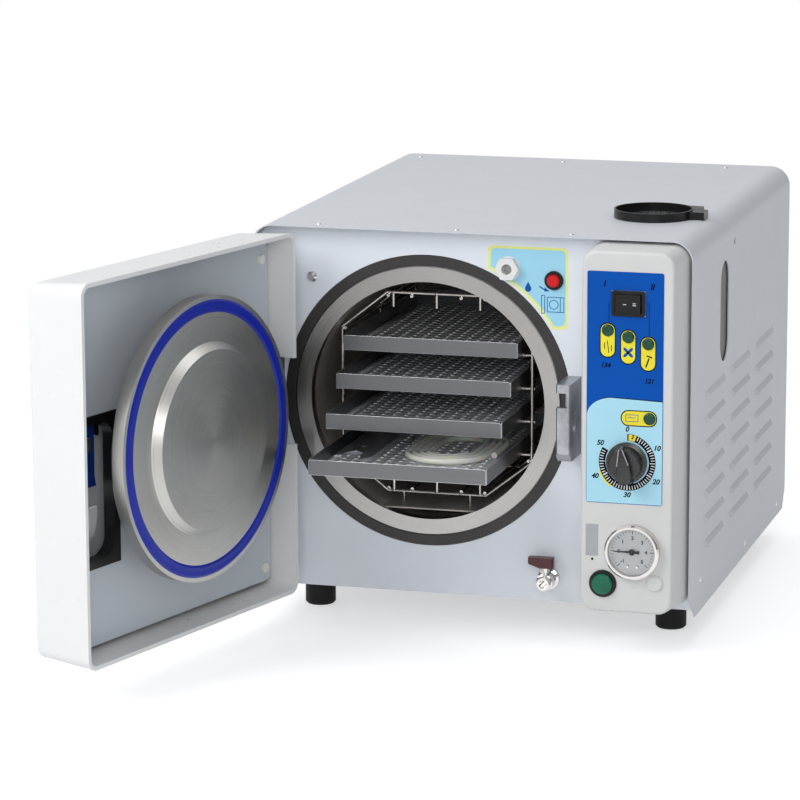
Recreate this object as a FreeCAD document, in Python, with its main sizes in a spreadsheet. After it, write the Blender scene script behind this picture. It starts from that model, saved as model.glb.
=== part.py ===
import FreeCAD, Part
import math
import os
import re
import Sketcher

# Bench autoclave with a swinging round-lid door, in millimetres.
# X runs to the right, Y to the back and Z up. The origin is on the table at the centre of the cabinet.

SIZES = {
    # cabinet
    "cabinet_width": 427.8, "cabinet_depth": 500.0, "cabinet_top": 392.4, "cover_bottom": 29.1,
    "sheet_gauge": 1.2, "bend_radius": 20.0, "seam_gap": 0.4, "panel_recess": 15.5, "panel_bottom": 38.5,
    "panel_gauge": 2.0, "front_cut_run": 27.6, "front_cut_rise": 24.0, "rear_cut_run": 14.0,
    "rear_cut_rise": 19.0, "pan_gauge": 1.5, "pan_lip": 24.0,
    # feet
    "foot_radius": 15.0, "foot_spacing_x": 354.0, "foot_spacing_y": 312.0, "foot_taper": 2.0,
    "foot_bore": 2.75,
    # rear panel: power inlet, air outlet, vents and safety valve
    "inlet_x": -150.0, "inlet_z": 80.0, "inlet_width": 27.4, "inlet_height": 20.0, "inlet_flange": 4.5,
    "inlet_depth": 18.0, "outlet_x": -90.0, "outlet_z": 80.0, "outlet_bore": 6.0, "vent_x": 120.0,
    "vent_length": 70.0, "vent_width": 6.0, "vent_pitch": 16.0, "vent_first_z": 303.0,
    "valve_x": -45.0, "valve_z": 320.0, "valve_radius": 9.0, "valve_cap": 11.0, "valve_reach": 12.0,
    # louvres and the level slot in the right side
    "louvre_length": 90.0, "louvre_rise": 8.0, "louvre_stand": 3.2, "louvre_pitch_z": 24.3,
    "louvre_pitch_y": 127.0, "louvre_first_y": -138.0, "louvre_first_z": 233.0, "louvre_nose": 6.0,
    "slot_y": -96.5, "slot_z": 301.0, "slot_width": 40.0, "slot_length": 98.0,
    # chamber
    "chamber_x": -45.0, "chamber_z": 226.15, "chamber_radius": 115.0, "chamber_wall": 2.5,
    "chamber_length": 330.0, "head_gauge": 5.0, "flange_radius": 131.0, "flange_depth": 12.0,
    "flange_proud": 0.9, "trim_radius": 140.8, "trim_depth": 6.0, "lagging_depth": 22.0, "band_gauge": 3.0,
    "band_width": 60.0, "fit_gap": 0.3, "floor_drop": 105.8, "floor_gauge": 1.5, "floor_back_gap": 6.0,
    # rack and trays
    "rack_wire": 3.0, "rack_half_side": 94.0, "rack_half_top": 97.5, "rack_flat_side": 62.0,
    "rack_flat_top": 49.0, "rack_front": 34.5, "rack_length": 260.0, "rack_stub": 14.0, "rack_foot_x": 33.0,
    "rail_overhang": 2.5,
    "tray_width": 172.0, "tray_length": 262.0, "tray_height": 14.6, "tray_gauge": 1.0, "tray_corner": 6.0,
    "tray_top_z": 284.4, "tray_pitch": 32.3, "tray_home": 14.0, "tray_pull_one": 4.5,
    "tray_pull_two": 30.5, "tray_pull_three": 64.5, "tray_pull_four": 121.0, "rail_gap": 0.35,
    # tray lifter and drain hose on the lowest tray
    "lifter_set": 1.5, "lifter_front": 64.5, "lifter_width": 37.0, "lifter_length": 137.0,
    "lifter_gauge": 2.0, "lifter_hole": 2.2, "hose_radius": 3.0, "hose_lie_gap": 0.3, "hose_pitch": 6.8,
    "hose_outer": 42.0, "hose_run": 46.0, "hose_x": -21.0, "hose_front": 64.0,
    # control bezel and what it carries
    "bezel_left": 116.5, "bezel_right": 211.8, "bezel_bottom": 44.5, "bezel_top": 388.8,
    "bezel_stand": 37.5, "bezel_draft": 7.5, "bezel_wall": 3.0, "bezel_corner": 14.0, "bezel_edge": 3.0,
    "label_left": 122.8, "label_right": 194.8, "label_bottom": 150.5, "label_top": 368.5,
    "label_gauge": 0.5, "rocker_x": 161.7, "rocker_z": 339.25, "rocker_width": 31.5, "rocker_height": 23.4,
    "paddle_width": 23.6, "paddle_height": 17.4, "lamp_radius": 5.8, "lamp_stem": 4.0, "lamp_proud": 2.4,
    "timer_x": 161.6, "timer_z": 190.2, "knob_radius": 19.2, "knob_height": 15.0,
    "timer_shaft": 3.0, "timer_can": 24.0, "timer_can_depth": 36.0,
    "gauge_x": 167.8, "gauge_z": 105.8, "gauge_radius": 25.9, "gauge_proud": 9.0,
    "button_x": 139.3, "button_z": 73.2, "button_ring": 13.0, "button_cap": 9.8, "button_travel": 3.0,
    "plug_x": 188.5, "plug_z": 76.1, "plug_radius": 7.9,
    # front panel fittings
    "stud_x": -158.4, "stud_z": 341.5, "stud_radius": 5.0, "port_x": 34.0, "port_z": 357.6,
    "port_flats": 20.0, "port_bore": 5.0, "port_proud": 7.0, "release_x": 78.5, "release_z": 348.1,
    "release_ring": 9.0, "release_cap": 6.0, "release_travel": 2.5, "drain_x": 75.0, "drain_z": 61.0,
    "drain_reach": 27.0, "drain_radius": 8.0, "drain_bore": 4.0, "lever_length": 24.5, "lever_z": 74.0,
    "lever_height": 10.0, "lever_width": 9.0, "keeper_left": 91.5, "keeper_width": 13.5,
    "keeper_stand": 45.0, "keeper_bottom": 184.0, "keeper_top": 258.0, "keeper_sill": 236.0,
    "keeper_lintel": 250.0, "keeper_wall": 8.0, "keeper_web": 3.0,
    # door
    "hinge_x": -198.0, "hinge_reach": 52.0, "pin_radius": 5.0, "ear_radius": 11.0,
    "ear_height": 17.0, "knuckle_height": 41.0, "door_open_angle": 106.0, "door_rim_gap": 26.5,
    "door_depth": 60.8, "door_left": -227.5, "door_right": 110.0, "door_bottom": 39.0, "door_top": 389.0,
    "door_draft": 4.5, "door_side_draft": 1.5, "door_wall": 4.0, "door_corner": 12.0, "door_edge": 5.0,
    "inner_panel_set": 28.0, "inner_panel_gauge": 1.5, "bracket_slot": 84.0, "bracket_slot_reach": 54.0,
    "arm_gauge": 12.0, "arm_height": 41.0, "arm_back": 8.0, "arm_boss": 34.0, "arm_end": 40.0,
    "lid_radius": 131.5, "lid_rim": 14.0, "lid_seat_gap": 2.2,
    "plateau_base": 89.0, "plateau_top": 83.0, "plateau_rise": 8.0,
    "gasket_outer": 127.5, "gasket_inner": 116.0, "gasket_depth": 5.0, "gasket_crown": 1.6,
    # lock and handle in the free side of the door
    "lock_reach": 84.5, "lock_bottom": 120.0, "lock_top": 261.0, "lock_border": 8.5, "lock_depth": 12.0,
    "lock_corner": 18.0, "grip_left": 36.0, "grip_right": 98.0, "grip_bottom": 172.0, "grip_top": 281.0,
    "scoop_depth": 17.0, "scoop_height": 40.0, "scoop_wall": 2.4,
    "handle_left": 40.0, "handle_width": 45.0, "handle_pivot_set": 20.5, "handle_pivot_z": 246.0,
    "handle_pin": 2.5, "cheek_gauge": 3.5, "hook_width": 7.0, "hook_inset": 1.6, "hook_travel": 9.0,
    "hook_neck": 4.0, "hook_gap": 0.5, "cap_radius": 4.5, "cap_height": 3.0,
    # tank and filler
    "filler_x": 147.0, "filler_y": -113.5, "filler_radius": 38.0, "collar_gauge": 1.6,
    "collar_height": 8.5, "collar_tail": 43.0, "collar_latch": 8.0, "collar_latch_width": 20.0,
    "neck_wall": 2.0, "tank_corner": 8.0, "tank_left": 106.0, "tank_right": 196.0,
    "tank_front": -160.0, "tank_back": 150.0, "tank_bottom": 262.0, "tank_top": 376.0, "tank_wall": 2.5,
}

V = FreeCAD.Vector
doc = FreeCAD.newDocument("Autoclave")
sheet = doc.addObject("Spreadsheet::Sheet", "Sizes")
for row, (alias, value) in enumerate(SIZES.items(), 1):
    sheet.set("A%d" % row, alias)
    sheet.set("B%d" % row, str(value))
    sheet.setAlias("B%d" % row, alias)
doc.recompute()

NODES = []


def bind(text):
    """Every size name in an expression, as its cell in the sheet."""
    return re.sub(r"\b([a-z]+(?:_[a-z]+)+)\b", r"Sizes.\1", str(text))


def num(text):
    """The value of an expression of sizes."""
    return float(sheet.evalExpression(bind(text)))


def node(label, piece):
    piece.Label = label
    NODES.append(piece)
    return piece


def new_body(label):
    body = doc.addObject("PartDesign::Body", label)
    body.AllowCompound = True
    return node(label, body)


def new_sketch(body, plane, at=0):
    """A sketch on an origin plane of the body, moved along that plane's axis to the coordinate at."""
    sketch = body.newObject("Sketcher::SketchObject", body.Name + "_sketch")
    origin_plane = [item for item in body.Origin.OriginFeatures if item.Role == plane + "_Plane"][0]
    sketch.AttachmentSupport = [(origin_plane, "")]
    sketch.MapMode = "FlatFace"
    shift = "-(%s)" % at if plane == "XZ" else str(at)
    sketch.setExpression("AttachmentOffset.Base.z", bind(shift))
    return sketch


def dimension(sketch, kind, text, *where):
    constraint = Sketcher.Constraint(kind, *where, num(text))
    index = sketch.addConstraint(constraint)
    sketch.setExpression("Constraints[%d]" % index, bind(text))


def pin_point(sketch, geometry, point, x, y):
    dimension(sketch, "DistanceX", x, -1, 1, geometry, point)
    dimension(sketch, "DistanceY", y, -1, 1, geometry, point)


def polygon(sketch, corners):
    first = sketch.GeometryCount
    values = [V(num(x), num(y), 0) for x, y in corners]
    count = len(values)
    for index in range(count):
        sketch.addGeometry(Part.LineSegment(values[index], values[(index + 1) % count]))
    for index in range(count):
        following = first + (index + 1) % count
        sketch.addConstraint(Sketcher.Constraint("Coincident", first + index, 2, following, 1))
    for index, (x, y) in enumerate(corners):
        pin_point(sketch, first + index, 1, x, y)


def circle(sketch, x, y, radius):
    index = sketch.addGeometry(Part.Circle(V(num(x), num(y), 0), V(0, 0, 1), num(radius)))
    pin_point(sketch, index, 3, x, y)
    dimension(sketch, "Radius", radius, index)


def rounded(sketch, left, right, low, high, radius):
    """A rectangle with four equal tangent corner arcs."""
    first = sketch.GeometryCount
    x0, x1, y0, y1, r = (num(text) for text in (left, right, low, high, radius))
    centres = [V(x1 - r, y1 - r, 0), V(x0 + r, y1 - r, 0), V(x0 + r, y0 + r, 0), V(x1 - r, y0 + r, 0)]
    for turn, centre in enumerate(centres):
        start = turn * math.pi / 2
        arc = Part.Circle(centre, V(0, 0, 1), r)
        sketch.addGeometry(Part.ArcOfCircle(arc, start, start + math.pi / 2))
    for turn in range(4):
        a = sketch.Geometry[first + turn].EndPoint
        b = sketch.Geometry[first + (turn + 1) % 4].StartPoint
        sketch.addGeometry(Part.LineSegment(a, b))
    for turn in range(4):
        line = first + 4 + turn
        sketch.addConstraint(Sketcher.Constraint("Tangent", first + turn, 2, line, 1))
        sketch.addConstraint(Sketcher.Constraint("Tangent", line, 2, first + (turn + 1) % 4, 1))
        sketch.addConstraint(Sketcher.Constraint("Horizontal" if turn % 2 == 0 else "Vertical", line))
        if turn:
            sketch.addConstraint(Sketcher.Constraint("Equal", first, first + turn))
    dimension(sketch, "Radius", radius, first)
    dimension(sketch, "DistanceY", high, -1, 1, first + 4, 1)
    dimension(sketch, "DistanceX", left, -1, 1, first + 5, 1)
    dimension(sketch, "DistanceY", low, -1, 1, first + 6, 1)
    dimension(sketch, "DistanceX", right, -1, 1, first + 7, 1)


def extrude(kind, body, sketch, length, reverse=False, both=False):
    feature = body.newObject("PartDesign::" + kind, body.Name + "_" + kind)
    feature.Profile = sketch
    feature.Reversed = reverse
    feature.SideType = "Symmetric" if both else "One side"
    feature.setExpression("Length", bind(length))
    doc.recompute()
    return feature


def pad(body, sketch, length, reverse=False, both=False):
    return extrude("Pad", body, sketch, length, reverse, both)


def pocket(body, sketch, length, reverse=False, both=False):
    before = body.Shape.Volume
    feature = extrude("Pocket", body, sketch, length, reverse, both)
    if feature.Shape.Volume > before - 1e-3:
        raise ValueError("pocket in %s cuts nothing" % body.Label)
    return feature


def edges_where(feature, test):
    return ["Edge%d" % (index + 1) for index, edge in enumerate(feature.Shape.Edges) if test(edge)]


def dress(kind, body, feature, size, test):
    """A fillet or chamfer on the edges that pass the test."""
    names = edges_where(feature, test)
    if not names:
        raise ValueError("no edge to dress in %s" % body.Label)
    result = body.newObject("PartDesign::" + kind, body.Name + "_" + kind)
    result.Base = (feature, names)
    result.setExpression("Radius" if kind == "Fillet" else "Size", bind(size))
    doc.recompute()
    return result


def along(axis):
    """Test for straight edges that run along one axis."""
    def test(edge):
        direction = edge.tangentAt(edge.FirstParameter)
        return edge.Curve.TypeId == "Part::GeomLine" and abs(getattr(direction, axis)) > 0.999
    return test


def level(axis, value):
    """Test for edges that lie in the plane where one coordinate has the value."""
    def test(edge):
        box = edge.BoundBox
        low, high = getattr(box, axis + "Min"), getattr(box, axis + "Max")
        return abs(low - value) < 1e-3 and abs(high - value) < 1e-3
    return test


def turned(label, profile, x, y, z, axis="y"):
    """A body of revolution. Its profile has (radius, distance along the axis) corners."""
    body = new_body(label)
    sketch = new_sketch(body, "XY")
    polygon(sketch, profile)
    feature = body.newObject("PartDesign::Revolution", label + "_turn")
    feature.Profile = sketch
    feature.ReferenceAxis = (sketch, ["V_Axis"])
    feature.Angle = 360
    doc.recompute()
    turn = {"y": FreeCAD.Rotation(), "z": FreeCAD.Rotation(V(1, 0, 0), 90),
            "x": FreeCAD.Rotation(V(0, 0, 1), -90)}[axis]
    body.Placement = FreeCAD.Placement(V(num(x), num(y), num(z)), turn)
    return body


def plate(label, plane, at, length, left, right, low, high, radius=None, reverse=False):
    """A flat or deep plate with square or rounded corners, as the first pad of a new body."""
    body = new_body(label)
    sketch = new_sketch(body, plane, at)
    if radius is None:
        polygon(sketch, [(left, low), (right, low), (right, high), (left, high)])
    else:
        rounded(sketch, left, right, low, high, radius)
    feature = pad(body, sketch, length, reverse)
    return body, feature


def hole(body, plane, at, length, shapes, reverse=False):
    """One pocket with round holes (x, y, radius) and square openings (left, right, low, high)."""
    sketch = new_sketch(body, plane, at)
    for shape in shapes:
        if len(shape) == 3:
            circle(sketch, *shape)
        else:
            left, right, low, high = shape
            polygon(sketch, [(left, low), (right, low), (right, high), (left, high)])
    return pocket(body, sketch, length, reverse)


def group(label, plane, at, length, circles, reverse=False):
    """Equal round pieces that stand apart from each other, as one body."""
    body = new_body(label)
    sketch = new_sketch(body, plane, at)
    for x, y, radius in circles:
        circle(sketch, x, y, radius)
    return body, pad(body, sketch, length, reverse)


# Planes and lines that several pieces share
HALF_WIDTH = "cabinet_width / 2"
COVER_FRONT = "(-cabinet_depth / 2)"
PANEL = "(panel_recess - cabinet_depth / 2)"
FACE = "(-cabinet_depth / 2 - bezel_stand)"
REAR = "(cabinet_depth / 2 - rear_cut_run)"
HINGE_Y = "(panel_recess - cabinet_depth / 2 - hinge_reach)"
RIM = "(panel_recess - cabinet_depth / 2 - door_rim_gap)"
SKIN = "(panel_recess - cabinet_depth / 2 - door_rim_gap - door_depth)"
DOOR_PANEL = "(panel_recess - cabinet_depth / 2 - door_rim_gap - inner_panel_set)"
LID = "(panel_recess - cabinet_depth / 2 - lid_seat_gap)"
CORNERS = [(x + "foot_spacing_x / 2", y + "foot_spacing_y / 2") for x in ("-", "") for y in ("-", "")]
LAMPS = [("142.4", "313.5"), ("161.7", "308"), ("180.5", "302.3"), ("182.3", "232.2")]
PULLS = ("tray_pull_one", "tray_pull_two", "tray_pull_three", "tray_pull_four")
OPEN = FreeCAD.Placement(V(0, 0, 0), FreeCAD.Rotation(V(0, 0, 1), -num("door_open_angle")),
                         V(num("hinge_x"), num(HINGE_Y), 0))


def on_door(piece):
    """Swing a piece, modelled with the door shut, out to the open rest position."""
    piece.Placement = OPEN.multiply(piece.Placement)
    return piece


def make_cover():
    body = new_body("outer_cover")
    wall = "(cabinet_width / 2 - sheet_gauge)"
    sketch = new_sketch(body, "XZ")
    polygon(sketch, [("-cabinet_width / 2", "cover_bottom"), ("-" + wall, "cover_bottom"),
                     ("-" + wall, "cabinet_top - sheet_gauge"), (wall, "cabinet_top - sheet_gauge"),
                     (wall, "cover_bottom"), (HALF_WIDTH, "cover_bottom"), (HALF_WIDTH, "cabinet_top"),
                     ("-cabinet_width / 2", "cabinet_top")])
    shell = pad(body, sketch, "cabinet_depth", both=True)
    top = num("cabinet_top")
    bend = dress("Fillet", body, shell, "bend_radius",
                 lambda e: along("y")(e) and abs(e.CenterOfMass.z - top) < 0.1)
    dress("Fillet", body, bend, "bend_radius - sheet_gauge",
          lambda e: along("y")(e) and abs(e.CenterOfMass.z - top + num("sheet_gauge")) < 0.1
          and abs(abs(e.CenterOfMass.x) - num(wall)) < 0.1)
    sketch = new_sketch(body, "YZ")
    polygon(sketch, [(COVER_FRONT, "cover_bottom"), (COVER_FRONT + " + front_cut_run", "cover_bottom"),
                     (COVER_FRONT, "cover_bottom + front_cut_rise")])
    polygon(sketch, [("cabinet_depth / 2", "cover_bottom"),
                     ("cabinet_depth / 2", "cover_bottom + rear_cut_rise"),
                     ("cabinet_depth / 2 - rear_cut_run", "cover_bottom")])
    pocket(body, sketch, "2 * cabinet_width", both=True)
    sketch = new_sketch(body, "YZ", "cabinet_width / 2 + sheet_gauge")
    rounded(sketch, "slot_y - slot_width / 2", "slot_y + slot_width / 2", "slot_z - slot_length / 2",
            "slot_z + slot_length / 2", "slot_width / 2 - 0.01")
    pocket(body, sketch, "3 * sheet_gauge")
    hole(body, "XY", "cabinet_top + sheet_gauge", "3 * sheet_gauge",
         [("filler_x", "filler_y", "filler_radius - collar_gauge")])
    hole(body, "YZ", "cabinet_width / 2 + sheet_gauge", "3 * sheet_gauge",
         [("slot_y + 47", "slot_z + 60.5", "3.2")])
    return body


def loft(kind, body, first, second):
    feature = body.newObject("PartDesign::" + kind, body.Name + "_" + kind)
    feature.Profile = first
    feature.Sections = [second]
    feature.Ruled = True
    doc.recompute()
    return feature


def make_louvres(body):
    """One hooded louvre, open underneath, repeated in rows and columns on the right side."""
    wall = "cabinet_width / 2 - sheet_gauge"
    stand = "cabinet_width / 2 + louvre_stand"
    half = "louvre_length / 2"
    sections = {
        "AdditiveLoft": [(wall, half, "0", "louvre_rise"), (stand, half + " - louvre_nose", "0", "2")],
        "SubtractiveLoft": [(wall + " - 0.5", half + " - 1.5", "-0.5", "louvre_rise - 1.5"),
                            (stand + " - 1", half + " - louvre_nose - 1", "-0.5", "1")],
    }
    made = []
    for kind, pair in sections.items():
        sketches = []
        for at, reach, low, high in pair:
            sketch = new_sketch(body, "YZ", at)
            left, right = "louvre_first_y - (%s)" % reach, "louvre_first_y + " + reach
            low, high = "louvre_first_z + " + low, "louvre_first_z + " + high
            polygon(sketch, [(left, low), (right, low), (right, high), (left, high)])
            sketches.append(sketch)
        made.append(loft(kind, body, *sketches))
    repeat = body.newObject("PartDesign::MultiTransform", "louvre_grid")
    repeat.Originals = made
    axes = {item.Role: item for item in body.Origin.OriginFeatures}
    steps = []
    for role, pitch, count, reverse in (("Z_Axis", "louvre_pitch_z", 7, True),
                                        ("Y_Axis", "louvre_pitch_y", 3, False)):
        step = body.newObject("PartDesign::LinearPattern", "louvre_" + role)
        step.Direction = (axes[role], [""])
        step.Reversed = reverse
        step.Mode = "Spacing"
        step.setExpression("Offset", bind(pitch))
        step.Occurrences = count
        steps.append(step)
    repeat.Transformations = steps
    body.Tip = repeat
    doc.recompute()


def make_cabinet():
    cover = make_cover()
    make_louvres(cover)
    inside = "cabinet_width / 2 - sheet_gauge - seam_gap"
    panel, blank = plate("front_panel", "XZ", PANEL, "panel_gauge", "-(%s)" % inside, inside,
                         "panel_bottom", "cabinet_top - sheet_gauge - seam_gap", reverse=True)
    top = num("cabinet_top - sheet_gauge - seam_gap")
    dress("Fillet", panel, blank, "bend_radius - sheet_gauge - seam_gap",
          lambda e: along("y")(e) and abs(e.CenterOfMass.z - top) < 0.1)
    hole(panel, "XZ", PANEL, "panel_gauge",
         [("chamber_x", "chamber_z", "trim_radius + fit_gap"),
          ("bezel_left + 14", "bezel_right - 14", "bezel_bottom + 10", "bezel_top - 16"),
          ("port_x", "port_z", "port_bore + 3"), ("release_x", "release_z", "release_ring - 2"),
          ("drain_x", "drain_z", "drain_radius - 1.5"), ("stud_x", "stud_z", "stud_radius / 2")])
    rear, blank = plate("rear_panel", "XZ", REAR + " - panel_gauge", "panel_gauge", "-(%s)" % inside,
                        inside, "panel_bottom", "cabinet_top - sheet_gauge - seam_gap", reverse=True)
    dress("Fillet", rear, blank, "bend_radius - sheet_gauge - seam_gap",
          lambda e: along("y")(e) and abs(e.CenterOfMass.z - top) < 0.1)
    vents = [("vent_x - vent_length / 2", "vent_x + vent_length / 2", "vent_first_z + %d * vent_pitch" % row,
              "vent_first_z + %d * vent_pitch + vent_width" % row) for row in range(4)]
    hole(rear, "XZ", REAR + " - panel_gauge", "panel_gauge",
         [("inlet_x - inlet_width / 2 - fit_gap", "inlet_x + inlet_width / 2 + fit_gap",
           "inlet_z - inlet_height / 2 - fit_gap", "inlet_z + inlet_height / 2 + fit_gap"),
          ("outlet_x", "outlet_z", "outlet_bore"), ("valve_x", "valve_z", "valve_radius - 2 + fit_gap")]
         + vents)
    pan, blank = plate("base_chassis", "XY", "panel_bottom", "pan_lip", "-(%s)" % inside, inside,
                       PANEL + " + panel_gauge + seam_gap", REAR + " - panel_gauge - seam_gap")
    hole(pan, "XY", "panel_bottom + pan_lip", "pan_lip - pan_gauge",
         [("-(%s) + pan_gauge" % inside, inside + " - pan_gauge",
           PANEL + " + panel_gauge + seam_gap + pan_gauge", REAR + " - panel_gauge - seam_gap - pan_gauge")])
    hole(pan, "XZ", PANEL, "panel_gauge + seam_gap + pan_gauge + 1",
         [("drain_x - drain_radius", "drain_x + drain_radius", "drain_z - drain_radius",
           "panel_bottom + pan_lip + 1")])
    hole(pan, "XY", "panel_bottom + pan_gauge", "pan_gauge", [(x, y, "foot_bore") for x, y in CORNERS])
    feet, posts = group("rubber_feet", "XY", "0", "panel_bottom",
                        [(x, y, "foot_radius") for x, y in CORNERS])
    dress("Chamfer", feet, posts, "foot_taper", level("Z", 0.0))
    hole(feet, "XY", "panel_bottom", "panel_bottom", [(x, y, "foot_bore") for x, y in CORNERS])


def make_rear_fittings():
    left, right = "inlet_x - inlet_width / 2", "inlet_x + inlet_width / 2"
    low, high = "inlet_z - inlet_height / 2", "inlet_z + inlet_height / 2"
    inlet, _ = plate("mains_inlet", "XZ", REAR, "3", left + " - inlet_flange", right + " + inlet_flange",
                     low + " - inlet_flange", high + " + inlet_flange", "3", reverse=True)
    sketch = new_sketch(inlet, "XZ", REAR)
    rounded(sketch, left, right, low, high, "3")
    pad(inlet, sketch, "inlet_depth")
    sketch = new_sketch(inlet, "XZ", REAR + " + 3")
    rounded(sketch, left + " + 1.6", right + " - 1.6", low + " + 1.6", high + " - 1.6", "3")
    pocket(inlet, sketch, "inlet_depth", reverse=True)
    sketch = new_sketch(inlet, "XZ", REAR + " - inlet_depth + 2")
    for x, z in (("inlet_x - 7", "inlet_z - 2"), ("inlet_x", "inlet_z + 2"), ("inlet_x + 7", "inlet_z - 2")):
        polygon(sketch, [(x + " - 1", z + " - 2"), (x + " + 1", z + " - 2"), (x + " + 1", z + " + 2"),
                         (x + " - 1", z + " + 2")])
    pad(inlet, sketch, "inlet_depth - 3", reverse=True)
    turned("safety_valve", [("0", "-14"), ("valve_radius - 2", "-14"), ("valve_radius - 2", "0"),
                            ("valve_radius + 3", "0"), ("valve_radius + 3", "4"), ("valve_radius", "5"),
                            ("valve_radius", "valve_reach"), ("valve_cap", "valve_reach"),
                            ("valve_cap", "valve_reach + 10"), ("0", "valve_reach + 10")],
           "valve_x", REAR, "valve_z")


def make_chamber():
    mouth = PANEL + " - flange_proud"
    outer = "chamber_radius + chamber_wall"
    turned("chamber_vessel", [("chamber_radius", "flange_depth"), (outer, "flange_depth"),
                              (outer, "chamber_length"), ("0", "chamber_length"),
                              ("0", "chamber_length - head_gauge"),
                              ("chamber_radius", "chamber_length - head_gauge")],
           "chamber_x", mouth, "chamber_z")
    turned("chamber_flange", [("chamber_radius", "0"), ("flange_radius - 1.5", "0"),
                              ("flange_radius", "1.5"), ("flange_radius", "flange_depth"),
                              ("chamber_radius", "flange_depth")], "chamber_x", mouth, "chamber_z")
    turned("chamber_trim_ring", [("flange_radius", "flange_proud"), ("trim_radius", "flange_proud"),
                                 ("trim_radius", "flange_proud + trim_depth"),
                                 ("flange_radius", "flange_proud + trim_depth")],
           "chamber_x", mouth, "chamber_z")
    band_out = "chamber_radius + chamber_wall + band_gauge"
    middle = "chamber_length / 2"
    turned("heater_band", [(outer, middle), (band_out, middle), (band_out, middle + " + band_width"),
                           (outer, middle + " + band_width")], "chamber_x", mouth, "chamber_z")
    start = "flange_depth"
    cover = "chamber_radius + chamber_wall + band_gauge + lagging_depth"
    turned("insulation_jacket", [(outer, start + " + 2"), (cover, start + " + 2"),
                                 (cover, "chamber_length"), (outer, "chamber_length"),
                                 (outer, middle + " + band_width"), (band_out, middle + " + band_width"),
                                 (band_out, middle), (outer, middle)],
           "chamber_x", mouth, "chamber_z")
    depth = num("chamber_length - head_gauge - floor_back_gap")
    drop = num("floor_drop")
    tub = Part.makeCylinder(num("chamber_radius"), depth, V(0, num("flange_depth / 2"), 0), V(0, 1, 0))
    wide = num("2 * chamber_radius")
    below = Part.makeBox(2 * wide, 2 * depth, num("floor_gauge"), V(-wide, 0, -drop - num("floor_gauge")))
    floor_plate = doc.addObject("Part::Feature", "chamber_floor_plate")
    floor_plate.Shape = tub.common(below)
    floor_plate.Placement.Base = V(num("chamber_x"), num(mouth), num("chamber_z"))
    node("chamber_floor_plate", floor_plate)


def wire(points, radius):
    """A bent round wire along straight runs, with round elbows."""
    pieces = []
    for start, end in zip(points, points[1:]):
        way = end - start
        pieces.append(Part.makeCylinder(radius, way.Length, start, way))
    pieces += [Part.makeSphere(radius, point) for point in points[1:-1]]
    return pieces[0].multiFuse(pieces[1:]).removeSplitter() if len(pieces) > 1 else pieces[0]


def make_rack():
    """Three eight-sided loops, and the rails: long bars inside the loops' corners, bent tray runners."""
    thick = num("rack_wire")
    r = thick / 2
    side, top = num("rack_half_side"), num("rack_half_top")
    low, narrow = num("rack_flat_side"), num("rack_flat_top")
    length = num("rack_length")
    ring = [(narrow, top), (side, low), (side, -low), (narrow, -top),
            (-narrow, -top), (-side, -low), (-side, low), (-narrow, top)]
    place = V(num("chamber_x"), num(PANEL + " + rack_front"), num("chamber_z"))
    loops = []
    for y in (0.0, length / 2, length):
        corners = [V(x, y, z) for x, z in ring]
        loop = wire(corners + corners[:2], r)
        if y == 0.0:
            stub = num("rack_stub")
            for x in (-narrow + 2 * thick, 0.0, narrow - 2 * thick):
                loop = loop.fuse(wire([V(x, y, top), V(x, y, top - stub)], r))
                loop = loop.fuse(wire([V(x, y, -top), V(x, y, -top + stub)], r))
        if y != length / 2:
            for x in (-num("rack_foot_x"), num("rack_foot_x")):
                loop = loop.fuse(wire([V(x, y, -num("floor_drop")), V(x, y, -top)], r))
        loops.append(loop)
    slope = math.atan2(top - low, side - narrow)
    inner_side = (side - thick, low - thick * math.tan(slope / 2 + math.pi / 4 - slope))
    inner_top = (narrow - thick * math.tan(slope / 2), top - thick)
    bars = [inner_side, inner_top, (-inner_side[0], inner_side[1]), (-inner_top[0], inner_top[1])]
    bars += [(x, -z) for x, z in bars]
    bars += [(x, z) for x in (-narrow / 2, narrow / 2) for z in (top - thick, thick - top)]
    rails = [wire([V(x, -r, z), V(x, length + r, z)], r) for x, z in bars]
    inside = num("tray_width / 2 - rack_wire")
    outside = side + num("rail_overhang")
    for index in range(4):
        z = num("tray_top_z - chamber_z - tray_height - rail_gap - %d * tray_pitch" % index) - r
        for hand in (-1, 1):
            rails.append(wire([V(hand * outside, thick, z), V(hand * inside, thick, z),
                               V(hand * inside, length - thick, z), V(hand * outside, length - thick, z)], r))
    for label, solids in (("tray_rack", loops), ("tray_rails", rails)):
        piece = doc.addObject("Part::Feature", label)
        piece.Shape = Part.makeCompound(solids)
        piece.Placement.Base = place
        node(label, piece)


def make_trays():
    for index, pull in enumerate(PULLS):
        top = "(tray_top_z - %d * tray_pitch)" % index
        front = PANEL + " + tray_home - " + pull
        left, right = "chamber_x - tray_width / 2", "chamber_x + tray_width / 2"
        body, _ = plate("tray_%d" % (index + 1), "XY", top + " - tray_height", "tray_height", left, right,
                        front, front + " + tray_length", "tray_corner")
        sketch = new_sketch(body, "XY", top)
        rounded(sketch, left + " + tray_gauge", right + " - tray_gauge", front + " + tray_gauge",
                front + " + tray_length - tray_gauge", "tray_corner - tray_gauge")
        pocket(body, sketch, "tray_height - tray_gauge")


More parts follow.
